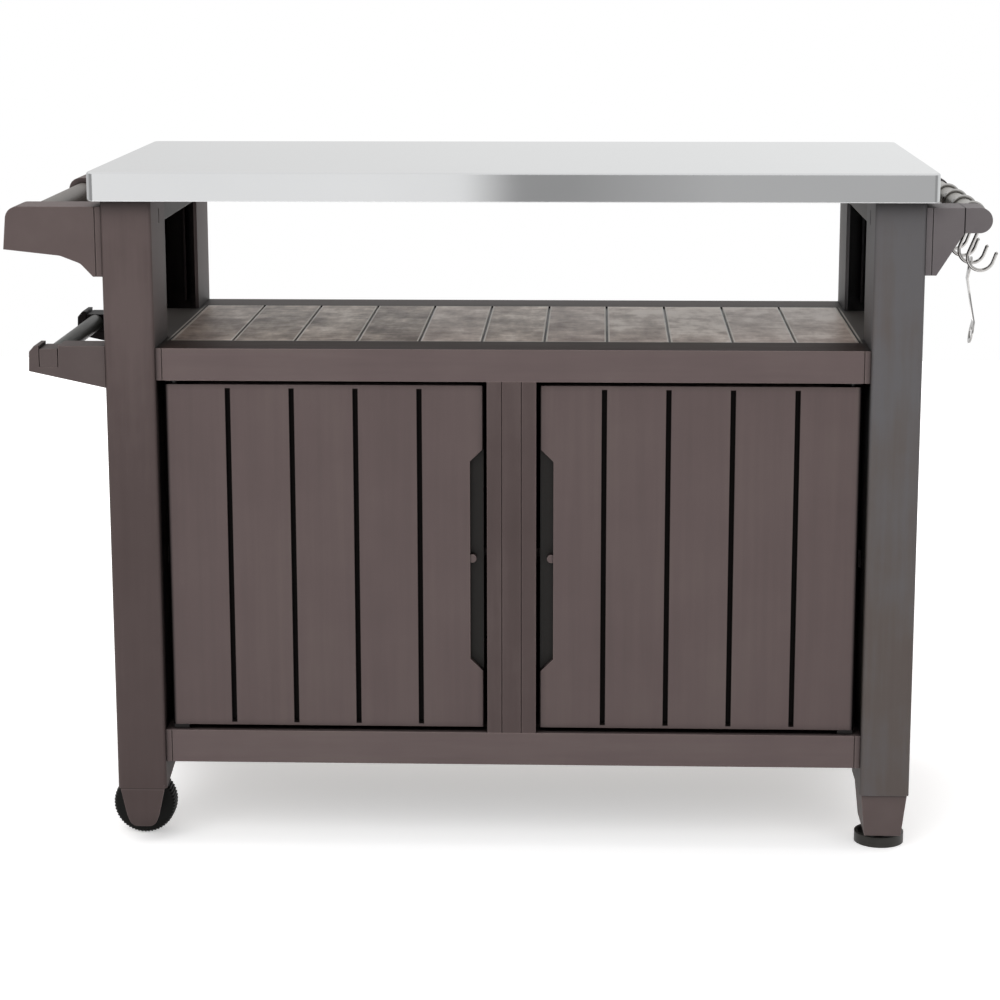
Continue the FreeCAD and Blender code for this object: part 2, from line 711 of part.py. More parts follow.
# Cabinet sides: planked outside, ribbed inside, with thick ends that stand in the channels of the posts
for side, name in ((-1, "left"), (1, "right")):
    panel = start_body(f"side_panel_{name}")
    section = []
    for end in (-1, 1):
        ramp = "post_back + tongue_ramp"
        run = [("tongue_inner", ramp), ("tongue_inner", "tongue_end"), ("tongue_outer", "tongue_end"),
               ("tongue_outer", ramp), ("panel_outer", "post_back")]
        run = [(f"{side} * {along}", f"{end} * ({up})") for along, up in run]
        section += run if end < 0 else run[::-1] + [(f"{side} * panel_inner", "post_back")]
    section.append((f"{side} * panel_inner", "-post_back"))
    pad(panel, outline(panel, "XY_Plane", "rail_bottom", section), "beam_low - rail_bottom")
    groove = outline(panel, "YZ_Plane", f"{side} * panel_outer",
                     rectangle("side_plank - post_back - plank_groove / 2",
                               "side_plank - post_back + plank_groove / 2",
                               "rail_bottom - overrun", "beam_low + overrun"))
    repeat(panel, cut(panel, groove, "plank_groove_depth", forward=side < 0), groove, "H_Axis",
           "side_plank * (side_planks - 2)", "side_planks - 1")
    cell = outline(panel, "YZ_Plane", f"{side} * panel_inner",
                   rectangle("panel_rib / 2 - post_back", "side_plank - panel_rib / 2 - post_back",
                             "rail_top + panel_rib", "beam_low - panel_rib"))
    repeat(panel, cut(panel, cell, "panel_thickness - panel_skin", forward=side > 0), cell, "H_Axis",
           "side_plank * (side_planks - 1)", "side_planks")

# Back of the cabinet, planked outside and ribbed inside
back = start_body("back_panel")
board = rectangle("-post_inner", "post_inner", "rail_top", "beam_low")
pad(back, outline(back, "XZ_Plane", "-beam_face", board), "panel_thickness")
groove = outline(back, "XZ_Plane", "-beam_face",
                 rectangle("back_plank - post_inner - plank_groove / 2",
                           "back_plank - post_inner + plank_groove / 2",
                           "rail_top - overrun", "beam_low + overrun"))
repeat(back, cut(back, groove, "plank_groove_depth", forward=True), groove, "H_Axis",
       "back_plank * (back_planks - 2)", "back_planks - 1")
cell = outline(back, "XZ_Plane", "-back_inner",
               rectangle("panel_rib / 2 - post_inner", "back_plank - panel_rib / 2 - post_inner",
                         "rail_top + panel_rib", "beam_low - panel_rib"))
repeat(back, cut(back, cell, "panel_thickness - panel_skin"), cell, "H_Axis",
       "back_plank * (back_planks - 1)", "back_planks")

# Stile between the doors, with two fine lines down its face
stile = start_body("centre_stile")
board = rectangle("-stile_side", "stile_side", "rail_top", "beam_low")
pad(stile, outline(stile, "XZ_Plane", "stile_back", board), "stile_depth")
for side in ("-1", "1"):
    middle = f"{side} * stile_line_spacing / 2"
    line = rectangle(f"{middle} - line_width / 2", f"{middle} + line_width / 2",
                     "rail_top - overrun", "beam_low + overrun")
    cut(stile, outline(stile, "XZ_Plane", "beam_face", line), "line_depth")

# Partition behind the stile
partition = start_body("centre_partition")
side_view = [("-stile_back", "rail_top"), ("back_inner", "rail_top"), ("back_inner", "beam_low"),
             ("beam_inner", "beam_low"), ("beam_inner", "shelf_low"), ("-beam_inner", "shelf_low"),
             ("-beam_inner", "beam_low"), ("-stile_back", "beam_low")]
pad(partition, outline(partition, "YZ_Plane", "-partition_side", side_view), "partition_thickness")

# Inner shelves, one in each bay, ribbed underneath
for side, name in ((-1, "left"), (1, "right")):
    board = start_body(f"inner_shelf_{name}")
    start = f"{side} * (partition_side + inner_shelf_play)"
    stop = f"{side} * (post_inner - inner_shelf_play)"
    plan = rectangle(start, stop, "-inner_shelf_front", "inner_shelf_back")
    pad(board, outline(board, "XY_Plane", "shelf_board_low", plan), "inner_shelf_thickness")
    cell = outline(board, "XY_Plane", "shelf_board_low",
                   rectangle(f"{side} * (beam_cell_start + beam_skin / 2)",
                             f"{side} * (beam_cell_start + beam_cell - beam_skin / 2)",
                             "beam_skin - inner_shelf_front", "inner_shelf_back - beam_skin"))
    pocket = cut(board, cell, "inner_shelf_thickness - inner_shelf_skin", forward=True)
    row = repeat(board, pocket, cell, "H_Axis", "beam_cell * (beam_cells - 1)", "beam_cells")
    row.Reversed = side < 0


def block(name, left, front, low, width, depth, height):
    """Rectangular block from its left, front and lower corner."""
    box = document.addObject("Part::Box", name)
    for key, text in (("Length", width), ("Width", depth), ("Height", height)):
        box.setExpression(key, linked(text))
    for key, text in (("x", left), ("y", front), ("z", low)):
        box.setExpression(f".Placement.Base.{key}", linked(text))
    return box


def group(label, members):
    """Several like solids held as one piece."""
    together = document.addObject("Part::Compound", label)
    together.Links = members
    return put(together, label)


# Cleats that carry the inner shelves: long ones on the partition, short ones on the posts
cleats = []
for number, side in enumerate((-1, 1)):
    start = "partition_side" if side > 0 else "-partition_side - cleat_size"
    cleats.append(block(f"LongCleat{number}", start, "-inner_shelf_front", "cleat_low",
                        "cleat_size", "inner_shelf_front + inner_shelf_back", "cleat_size"))
    start = "post_inner - cleat_size" if side > 0 else "-post_inner"
    cleats.append(block(f"FrontCleat{number}", start, "-inner_shelf_front", "cleat_low",
                        "cleat_size", "inner_shelf_front - post_back", "cleat_size"))
    cleats.append(block(f"BackCleat{number}", start, "post_back", "cleat_low",
                        "cleat_size", "inner_shelf_back - post_back", "cleat_size"))
group("shelf_cleats", cleats)

# Doors


def door(name, side):
    """Planked door with a finger pull in its free edge and ribs behind."""
    body = start_body(f"door_{name}")
    free, hung = f"{side} * door_inner", f"{side} * door_outer"
    board = rectangle(free, hung, "door_low", "door_top")
    pad(body, outline(body, "XZ_Plane", "door_back", board), "door_thickness")

    def upright(edge, across):
        return runs_along(edge, ALONG_Z) and near(edge.BoundBox.XMin, side * size(across))

    round_edges(body, "door_round", lambda edge: upright(edge, "door_outer"))
    face = -size("door_face")
    round_edges(body, "door_edge",
                lambda edge: upright(edge, "door_inner") and near(edge.BoundBox.YMax, face), "Chamfer")
    groove_middle = f"{side} * (door_inner + door_plank)"
    groove = outline(body, "XZ_Plane", "door_face",
                     rectangle(f"{groove_middle} - door_groove / 2", f"{groove_middle} + door_groove / 2",
                               "door_low + door_groove_margin", "door_top - door_groove_margin"))
    row = repeat(body, cut(body, groove, "door_groove_depth"), groove, "H_Axis",
                 "door_plank * (door_planks - 2)", "door_planks - 1")
    row.Reversed = side < 0
    margin = "pin_hold + door_recess_rib"
    recess = outline(body, "XZ_Plane", "door_back",
                     rectangle(f"{side} * (door_inner + door_plank + door_recess_rib)",
                               f"{side} * (door_inner + 2 * door_plank - door_recess_rib)",
                               f"door_low + {margin}", f"door_top - ({margin})"))
    row = repeat(body, cut(body, recess, "door_recess_depth", forward=True), recess, "H_Axis",
                 "door_plank * (door_planks - 2)", "door_planks - 1")
    row.Reversed = side < 0
    cut(body, outline(body, "XZ_Plane", "door_face", pull_corners(side, "overrun")), "pull_depth")
    peg = (f"{side} * (pull_side - peg_radius / 2)", "peg_height", "peg_radius")
    pad(body, outline(body, "XZ_Plane", "door_face - pull_depth", peg), "pull_depth - door_edge")
    pin = (f"{side} * hinge_across", "-hinge_forward", "pin_radius")
    cut(body, outline(body, "XY_Plane", "door_top", pin), "pin_hold")
    cut(body, outline(body, "XY_Plane", "door_low", pin), "pin_hold", forward=True)
    return body


def pull_corners(side, past):
    """Outline of the finger pull, open at the door's free edge and run past it."""
    free, far = f"{side} * (door_inner - {past})", f"{side} * pull_side"
    return [(free, f"pull_low - {past}"), (far, "pull_low + pull_slope"), (far, "pull_top - pull_slope"),
            (free, f"pull_top + {past}")]


for side, name in ((-1, "left"), (1, "right")):
    door(name, side)
    # dark liner on the bottom of the pull, cut round the peg
    liner = start_body(f"door_{name}_pull")
    level = "door_face - pull_depth"
    pad(liner, outline(liner, "XZ_Plane", level, pull_corners(side, "0")), "liner_thickness")
    peg = (f"{side} * (pull_side - peg_radius / 2)", "peg_height", "peg_radius")
    cut(liner, outline(liner, "XZ_Plane", f"{level} + liner_thickness", peg), "liner_thickness")
    # steel pins at the head and foot of the door
    pins = []
    for number, (low, height) in enumerate((("rail_top - pin_reach", "pin_reach + door_gap + pin_hold"),
                                            ("door_top - pin_hold", "pin_reach + door_gap + pin_hold"))):
        pin = document.addObject("Part::Cylinder", f"Pin{name}{number}")
        pin.setExpression("Radius", linked("pin_radius"))
        pin.setExpression("Height", linked(height))
        pin.setExpression(".Placement.Base.x", linked(f"{side} * hinge_across"))
        pin.setExpression(".Placement.Base.y", linked("-hinge_forward"))
        pin.setExpression(".Placement.Base.z", linked(low))
        pins.append(pin)
    group(f"door_{name}_pins", pins)


def bush(number, side, low, flange_low, flange_height):
    """Square plug with a collar that stands off the beam or rail, bored for one hinge pin."""
    middle, forward = f"{side} * hinge_across", "-hinge_forward"
    wide = "(bush_half + bush_flange)"
    plug = block(f"Plug{number}", f"{middle} - bush_half", f"{forward} - bush_half", low,
                 "2 * bush_half", "2 * bush_half", "bush_depth")
    collar = block(f"Collar{number}", f"{middle} - {wide}", f"{forward} - {wide}", flange_low,
                   f"2 * {wide}", f"2 * {wide}", flange_height)
    solid = document.addObject("Part::Fuse", f"Blank{number}")
    solid.Base, solid.Tool, solid.Refine = plug, collar, True
    bore = document.addObject("Part::Cylinder", f"Bore{number}")
    bore.setExpression("Radius", linked("pin_radius + pin_play"))
    bore.setExpression("Height", linked("bush_depth + door_gap + 2 * overrun"))
    bore.setExpression(".Placement.Base.x", linked(middle))
    bore.setExpression(".Placement.Base.y", linked(forward))
    bore.setExpression(".Placement.Base.z", linked(f"min({low}, {flange_low}) - overrun"))
    bored = document.addObject("Part::Cut", f"Bush{number}")
    bored.Base, bored.Tool = solid, bore
    return bored


# Bushes in the beam above and the rail below; the lower ones carry the doors' weight
bushes = []
for side in (-1, 1):
    number = len(bushes)
    bushes.append(bush(number, side, "beam_low", "beam_low - bush_flange_height", "bush_flange_height"))
    bushes.append(bush(number + 1, side, "rail_top - bush_depth", "rail_top", "door_gap - seat_gap"))
group("hinge_bushes", bushes)

# Catches under the front beam, one behind the free edge of each door
catches = []
for number, side in enumerate((-1, 1)):
    middle = f"{side} * (door_inner + catch_spacing)"
    catches.append(block(f"Catch{number}", f"{middle} - catch_width / 2", "seat_gap - door_back",
                         "beam_low - catch_height", "catch_width", "catch_depth", "catch_height"))
group("door_catches", catches)

# Handle on the left


def handle_bracket(name, end):
    """Moulded arm, open towards the middle of the cart, with a boss for the grip bar."""
    body = start_body(f"handle_bracket_{name}")
    level = "handle_open" if end < 0 else "-handle_face"
    throat = "(post_outer + handle_reach - handle_throat_start)"
    belly = "(post_outer + handle_reach - handle_belly_start)"
    arm = [("-post_outer", "handle_top"), ("handle_tip_slant - handle_end", "handle_top"),
           ("-handle_end", "handle_top - handle_tip_height"),
           (f"-{belly}", "handle_top - handle_belly_drop"),
           (f"-{throat}", "handle_top - handle_throat_drop"),
           ("-post_outer - bracket_foot", "handle_top - handle_foot_height"),
           ("-post_outer", "handle_top - handle_foot_height")]
    pad(body, outline(body, "XZ_Plane", level, arm), "handle_depth")
    kinks = ("handle_tip_slant", "handle_belly_start", "handle_throat_start")
    kinks = [size(kink) - size("handle_end") for kink in kinks]
    round_edges(body, "handle_round", lambda edge: runs_along(edge, ALONG_Y)
                and any(near(edge.BoundBox.XMin, kink) for kink in kinks))
    hollow = [("-post_outer - bracket_wall", "handle_top - bracket_wall"),
              ("handle_tip_slant + handle_round - handle_end", "handle_top - bracket_wall"),
              ("handle_tip_slant + handle_nose - handle_end", "handle_top - bracket_wall - handle_nose"),
              ("bracket_wall - handle_end", "handle_top - handle_tip_height + bracket_wall"),
              (f"-{belly}", "handle_top - handle_belly_drop + bracket_wall"),
              (f"-{throat}", "handle_top - handle_throat_drop + handle_slope_wall"),
              ("-post_outer - bracket_foot", "handle_top - handle_foot_height + handle_slope_wall"),
              ("-post_outer - bracket_wall", "handle_top - handle_foot_height + bracket_wall")]
    opening = "handle_open" if end < 0 else "-handle_open"
    cut(body, outline(body, "XZ_Plane", opening, hollow), "handle_depth - bracket_wall", forward=end < 0)
    ring = ("-grip_across", "grip_height", "grip_radius + boss_wall")
    pad(body, outline(body, "XZ_Plane", level, ring), "handle_depth")
    bore = ("-grip_across", "grip_height", "grip_radius")
    cut(body, outline(body, "XZ_Plane", opening, bore), "handle_depth - bracket_wall", forward=end < 0)
    middle = "-post_outer - bracket_line"
    line = rectangle(f"{middle} - line_width / 2", f"{middle} + line_width / 2",
                     "handle_top - handle_foot_height - overrun", "handle_top + overrun")
    face = "handle_face" if end < 0 else "-handle_face"
    cut(body, outline(body, "XZ_Plane", face, line), "line_depth", forward=end > 0)
    return body


handle_bracket("front", -1)
handle_bracket("back", 1)
rod("handle_bar", "grip_radius", "2 * (handle_face - bracket_wall)", "centring - grip_across",
    "bracket_wall - handle_face", "grip_height")

# Towel bar on the left: square end blocks drop into open notches


def towel_bracket(name, end):
    """Arm with a notch from above for the bar's end block."""
    body = start_body(f"towel_bracket_{name}")
    level = "towel_face - towel_depth" if end < 0 else "-towel_back_end"
    notch = "(towel_block / 2 + towel_play)"
    tip = "(post_outer + towel_reach)"
    arm = [("-post_outer", "towel_top"), (f"{notch} - towel_across", "towel_top"),
           (f"{notch} - towel_across", "towel_notch_low"), (f"-towel_across - {notch}", "towel_notch_low"),
           (f"-towel_across - {notch}", "towel_top"), (f"towel_chamfer - {tip}", "towel_top"),
           (f"towel_tip_slant - {tip}", "towel_top - towel_chamfer"),
           (f"-{tip}", "towel_top - towel_tip_height"),
           ("-post_outer", "towel_top - towel_root_height")]
    pad(body, outline(body, "XZ_Plane", level, arm), "towel_depth")
    inner = f"{notch} + towel_pocket_wall - towel_across"
    hollow = [("-post_outer - towel_pocket_wall", "towel_top - towel_pocket_wall"),
              (inner, "towel_top - towel_pocket_wall"),
              (inner, "towel_top - towel_tip_height - towel_pocket_wall / 2"),
              ("-post_outer - towel_pocket_wall", "towel_top - towel_root_height + towel_root_wall")]
    opening = "towel_face - towel_depth" if end < 0 else "-towel_back_start"
    cut(body, outline(body, "XZ_Plane", opening, hollow), "towel_depth - towel_pocket_wall", forward=end < 0)
    return body


towel_bracket("front", -1)
towel_bracket("back", 1)
rod("towel_bar", "towel_radius", "towel_face - towel_depth + towel_back_start", "centring - towel_across",
    "towel_depth - towel_face", "towel_height")
ends = []
for number, start in enumerate(("-towel_face", "towel_back_start")):
    ends.append(block(f"EndBlock{number}", "-towel_across - towel_block / 2", start,
                      "towel_height - towel_block / 2", "towel_block", "towel_depth", "towel_block"))
group("towel_bar_ends", ends)

# Utensil rail on the right


def rail_bracket(name, end):
    """Wedge-shaped arm with a separate round-ended cap that holds the rail."""
    open_side = "rail_bracket_open" if end < 0 else "-rail_bracket_open"
    level = "rail_bracket_open" if end < 0 else "-rail_bracket_face"
    body = start_body(f"rail_bracket_{name}")
    low = "(rail_bracket_top - rail_bracket_height)"
    arm = [("post_outer", "rail_bracket_top"), ("cap_start", "rail_bracket_top"),
           ("cap_start", "rail_bracket_top - 2 * cap_radius"), ("post_outer + rail_bracket_toe", low),
           ("post_outer", low)]
    pad(body, outline(body, "XZ_Plane", level, arm), "rail_bracket_depth")
    hollow = [("post_outer + bracket_wall", "rail_bracket_top - bracket_wall"),
              ("cap_start - bracket_wall", "rail_bracket_top - bracket_wall"),
              ("cap_start - bracket_wall", "rail_bracket_top - 2 * cap_radius + bracket_wall / 2"),
              ("post_outer + bracket_wall", f"{low} + rail_bracket_heel")]
    pocket = outline(body, "XZ_Plane", open_side, hollow)
    cut(body, pocket, "rail_bracket_depth - bracket_wall", forward=end < 0)
    middle = "post_outer + bracket_line"
    line = rectangle(f"{middle} - line_width / 2", f"{middle} + line_width / 2",
                     f"{low} - overrun", "rail_bracket_top + overrun")
    face = "rail_bracket_face" if end < 0 else "-rail_bracket_face"
    cut(body, outline(body, "XZ_Plane", face, line), "line_depth", forward=end > 0)
    cap = start_body(f"rail_cap_{name}")
    straight = rectangle("cap_start", "hook_rail_across",
                         "rail_bracket_top - 2 * cap_radius", "rail_bracket_top")
    pad(cap, outline(cap, "XZ_Plane", level, straight), "rail_bracket_depth")
    nose = ("hook_rail_across", "hook_rail_height", "cap_radius")
    pad(cap, outline(cap, "XZ_Plane", level, nose), "rail_bracket_depth")
    bore = ("hook_rail_across", "hook_rail_height", "hook_rail_radius")
    cut(cap, outline(cap, "XZ_Plane", open_side, bore), "rail_hold", forward=end < 0)


rail_bracket("front", -1)
rail_bracket("back", 1)
rod("hook_rail", "hook_rail_radius", "2 * (rail_bracket_open + rail_hold)", "centring + hook_rail_across",
    "-rail_bracket_open - rail_hold", "hook_rail_height")

# Wire hooks: a loop round the rail, a shank and an open bowl with a flared tip


def spot(centre, radius, angle):
    """Point at an angle on a circle in the upright plane across the cart."""
    turn = math.radians(angle)
    return Vector(centre.x + radius * math.cos(turn), 0, centre.z + radius * math.sin(turn))


def bend(centre, radius, begin, finish):
    """Angles of an even run of steps round a bend, each with its point on the wire's middle line."""
    steps = max(1, round(abs(finish - begin) / size("hook_bend_step")))
    angles = [begin + (finish - begin) * number / steps for number in range(steps + 1)]
    return [(spot(centre, radius, angle), angle) for angle in angles]


def wire_ring(middle, outward):
    """Corners of the wire's eight-sided section; outward is the angle that its first flat faces."""
    turn = math.radians(outward)
    side = Vector(math.cos(turn), 0, math.sin(turn)) * size("wire_radius")
    back = ALONG_Y * size("wire_radius")
    corners = [math.pi * (2 * number + 1) / 8 for number in range(8)]
    return [middle + side * math.cos(corner) + back * math.sin(corner) for corner in corners]


def skinned(rings):
    """Solid with a flat side between each pair of neighbouring corners, closed at its two ends."""
    faces = [Part.Face(Part.makePolygon(ring + ring[:1])) for ring in (rings[0], rings[-1])]
    for ring, following in zip(rings, rings[1:]):
        for here, corner in enumerate(ring):
            there = (here + 1) % len(ring)
            side = [corner, ring[there], following[there], following[here], corner]
            faces.append(Part.Face(Part.makePolygon(side)))
    return Part.Solid(Part.Shell(faces))


def hook():
    """Wire bent from its open end over the loop, down the shank, round the bowl and out to the tip."""
    loop = Vector(size("hook_rail_across"), 0, size("hook_rail_height"))
    bowl = Vector(size("bowl_across"), 0, size("bowl_height"))
    loop_radius, bowl_radius = size("hook_loop_radius"), size("hook_bowl_radius")
    # the shank touches the loop on its right and the bowl on its left
    apart = bowl - loop
    bearing = math.degrees(math.atan2(apart.z, apart.x))
    lean = math.degrees(math.acos((loop_radius + bowl_radius) / apart.Length))
    leave = bearing + lean
    meet = (leave + 180) % 360
    stop = 360 - size("hook_bowl_end")
    opening = size("hook_open_angle")
    rings = [wire_ring(middle, angle) for middle, angle in bend(loop, loop_radius, opening, leave)]
    rings += [wire_ring(middle, angle + 180) for middle, angle in bend(bowl, bowl_radius, meet, stop)]
    heading = math.radians(stop + 90)
    flare = Vector(math.cos(heading), 0, math.sin(heading)) * size("hook_tip")
    rings.append(wire_ring(spot(bowl, bowl_radius, stop) + flare, stop + 180))
    return skinned(rings)


wire_hook = hook()
for number in range(4):
    finished(wire_hook, f"hook_{number + 1}", back=f"{number} * hook_pitch - hook_first")

# Bottle opener: a bent, waisted strip that hangs on the second hook


def opener():
    """Strip bent into a shallow S, trimmed to its waisted outline, with a hanging hole and an open mouth."""
    bend, gauge = size("opener_bend"), size("opener_gauge")
    head, tail = size("opener_head_radius"), size("opener_tail_radius")
    hole, waist, length = size("opener_hole_radius"), size("opener_waist"), size("opener_length")
    mouth = size("opener_mouth_radius")
    top, bottom = head, -length - tail
    heights = [top, (3 * top + bottom) / 4, (top + bottom) / 2, (top + 3 * bottom) / 4, bottom]
    offsets = [0, -bend, 0, bend, 0]
    line = [Vector(offset - gauge / 2, 0, height) for offset, height in zip(offsets, heights)]
    shifted = [point + Vector(gauge, 0, 0) for point in line[::-1]]
    edges = Part.makePolygon(line + shifted + line[:1])
    strip = Part.Face(edges).extrude(Vector(0, 2 * tail, 0))
    strip.translate(Vector(0, -tail, 0))
    reach = 4 * (bend + gauge)
    shift = Vector(-reach / 2, 0, 0)
    head_disc = Part.makeCylinder(head, reach, shift, ALONG_X)
    tail_disc = Part.makeCylinder(tail, reach, shift + Vector(0, 0, -length), ALONG_X)
    shoulder = math.radians(size("opener_shoulder"))
    across, along = math.cos(shoulder), math.sin(shoulder)
    left = [Vector(0, -head * across, -head * along), Vector(0, -waist, -length / 2),
            Vector(0, -tail * across, tail * along - length)]
    right = [Vector(0, -point.y, point.z) for point in left[::-1]]
    neck = Part.Face(Part.Wire([Part.Arc(*left).toShape(), Part.makeLine(left[2], right[0]),
                                Part.Arc(*right).toShape(), Part.makeLine(right[2], left[0])]))
    neck = neck.extrude(Vector(reach, 0, 0))
    neck.translate(shift)
    blank = strip.common(head_disc.fuse([tail_disc, neck]))
    eye = Part.makeCylinder(hole, reach, shift, ALONG_X)
    jaw = Part.makeCylinder(mouth, reach, shift + Vector(0, 0, -length), ALONG_X)
    claw = size("opener_claw")
    tooth = Part.makeBox(reach, claw, mouth, Vector(-reach / 2, -claw / 2, claw / 2 - length))
    return blank.cut([eye, jaw.cut(tooth)]).removeSplitter()


hanging = "bowl_low + wire_radius + seat_gap - opener_hole_radius"
finished(opener(), "bottle_opener", "centring + bowl_across", "hook_pitch - hook_first", hanging)

# Wheels under the left posts, each in a fork that plugs into its post


def revolve(label, points, back="0", across="centring - wheel_across", up="wheel_radius"):
    """Ring turned about the axle line, which runs front to back; points are distance along it and radius."""
    body = start_body(label, across, back, up)
    sketch = outline(body, "YZ_Plane", "0", points)
    turned = body.newObject("PartDesign::Revolution", "Turned")
    turned.Profile = sketch
    turned.ReferenceAxis = (sketch, ["H_Axis"])
    turned.Angle = 360
    return body


def wheel(name, end):
    """Ribbed tyre on a hub that is narrower than the tyre, with the axle's bore."""
    middle = f"{end} * (frame_face - wheel_offset)"
    half, seat = "wheel_width / 2", "(wheel_radius - tyre_thickness)"
    tyre = revolve(f"wheel_tyre_{name}", rectangle(f"-{half}", half, seat, "wheel_radius"), middle)
    groove = outline(tyre, "XZ_Plane", f"-{half} - overrun",
                     rectangle("-tread_groove / 2", "tread_groove / 2", "wheel_radius - tread_depth",
                               "wheel_radius + overrun"))
    slot = cut(tyre, groove, "wheel_width + 2 * overrun", forward=True)
    ring = tyre.newObject("PartDesign::PolarPattern", "Tread")
    ring.Originals = [slot]
    ring.Axis = (groove, ["N_Axis"])
    ring.Angle = 360
    ring.setExpression("Occurrences", linked("tread_grooves"))
    tyre.Tip = ring
    inner = f"({half} - hub_recess)"
    revolve(f"wheel_hub_{name}", rectangle(f"-{inner}", inner, "axle_radius + axle_play", seat), middle)


def wheel_fork(name, end):
    """Plug in the foot of the channel with two cheeks that hold the axle."""
    body = start_body(f"wheel_fork_{name}", "centring - post_middle", f"{end} * frame_face")
    body.Placement.Rotation = FreeCAD.Rotation(ALONG_Z, 0 if end < 0 else 180)
    plug = rectangle("-plug_half", "plug_half", "post_wall", "cheek_back")
    pad(body, outline(body, "XY_Plane", "fork_low", plug), "plug_top - fork_low")
    middle, low = f"{end} * wheel_outset", "wheel_radius - fork_eye"
    cheek = [("-plug_half", "plug_top"), ("-plug_half", "fork_low"), (f"{middle} - fork_eye", "wheel_radius"),
             (f"{middle} - fork_toe", low), (f"{middle} + fork_toe", low),
             (f"{middle} + fork_eye", "wheel_radius"), ("plug_half", "fork_low"), ("plug_half", "plug_top")]
    for level in ("-cheek_front - fork_cheek", "-cheek_back"):
        pad(body, outline(body, "XZ_Plane", level, cheek), "fork_cheek")
    bore = (middle, "wheel_radius", "axle_radius")
    cut(body, outline(body, "XZ_Plane", "-cheek_back - overrun", bore), "post_depth", forward=True)
    return body


axles = []
for end, name in ((-1, "front"), (1, "back")):
    wheel(name, end)
    wheel_fork(name, end)
    axle = document.addObject("Part::Cylinder", f"Axle{name}")
    axle.setExpression("Radius", linked("axle_radius"))
    axle.setExpression("Height", linked("cheek_back - cheek_front"))
    axle.Placement.Rotation = FreeCAD.Rotation(ALONG_X, -90)
    axle.setExpression(".Placement.Base.x", linked("-wheel_across"))
    start = "cheek_front - frame_face" if end < 0 else "frame_face - cheek_back"
    axle.setExpression(".Placement.Base.y", linked(start))
    axle.setExpression(".Placement.Base.z", linked("wheel_radius"))
    axles.append(axle)
group("wheel_axles", axles)


# Feet under the right posts: a tapered foot plugs into the channel and a round pad screws up into it
def leg_foot(name, end):
    """Foot that tapers downwards, with a plug above and a hole for the pad's stem."""
    body = start_body(f"leg_foot_{name}", "centring + post_middle", f"{end} * frame_face")
    body.Placement.Rotation = FreeCAD.Rotation(ALONG_Z, 0 if end < 0 else 180)
    wide = "(post_width / 2 - leg_foot_inset)"
    # the wedge's own Y runs up the leg and its Z runs forward
    taper = body.newObject("PartDesign::AdditiveWedge", "Taper")
    taper.AttachmentSupport = own_plane(body, "XY_Plane")
    taper.MapMode = "FlatFace"
    taper.AttachmentOffset = FreeCAD.Placement(Vector(), FreeCAD.Rotation(ALONG_X, 90))
    limits = {"Xmin": f"leg_foot_taper - {wide}", "Xmax": f"{wide} - leg_foot_taper", "Ymin": "leg_foot_low",
              "Ymax": "post_low", "Zmin": "leg_foot_inset + leg_foot_taper - post_depth",
              "Zmax": "-leg_foot_inset - leg_foot_taper", "X2min": f"-{wide}", "X2max": wide,
              "Z2min": "leg_foot_inset - post_depth", "Z2max": "-leg_foot_inset"}
    for key in ("Ymax", "Xmin", "X2min", "Zmin", "Z2min", "Xmax", "X2max", "Zmax", "Z2max", "Ymin"):
        taper.setExpression(key, linked(limits[key]))
    plug = rectangle("-plug_half", "plug_half", "post_wall + fork_fit", "post_depth - post_wall")
    pad(body, outline(body, "XY_Plane", "post_low", plug), "plug_top - post_low")
    hole = ("0", "post_depth / 2", "stem_radius + stem_play")
    cut(body, outline(body, "XY_Plane", "leg_foot_low", hole), "stem_length + seat_gap", forward=True)
    return body


def foot_pad(name, end):
    """Round pad with a dished top and a stem whose end carries the leg."""
    back = f"{end} * (frame_face - post_depth / 2)"
    body = start_body(f"levelling_foot_{name}", "centring + post_middle", back)
    profile = [("0", "0"), ("pad_radius", "0"), ("pad_radius", "pad_height"),
               ("pad_radius - pad_rim", "pad_height"),
               ("pad_radius - pad_rim", "pad_height - pad_dish"),
               ("stem_radius", "pad_height - pad_dish"),
               ("stem_radius", "stem_top"), ("0", "stem_top")]
    sketch = outline(body, "XZ_Plane", "0", profile)
    turned = body.newObject("PartDesign::Revolution", "Turned")
    turned.Profile = sketch
    turned.ReferenceAxis = (sketch, ["V_Axis"])
    turned.Angle = 360
    return body


for end, name in ((-1, "front"), (1, "back")):
    leg_foot(name, end)
    foot_pad(name, end)

document.recompute()

failed = [item.Label for item in document.Objects if "Invalid" in item.State or "Error" in item.State]
if failed:
    raise RuntimeError(f"features that did not build: {failed}")
for piece in pieces:
    if piece.Shape.isNull() or not piece.Shape.isValid() or not piece.Shape.Solids:
        raise RuntimeError(f"{piece.Label} has no sound shape")

os.makedirs("parts", exist_ok=True)
for piece in pieces:
    piece.Shape.exportStep(f"parts/{piece.Label}.step")
print(f"{len(pieces)} pieces written")
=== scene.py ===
import json
import math

import bpy
import numpy as np
from mathutils import Matrix, Vector

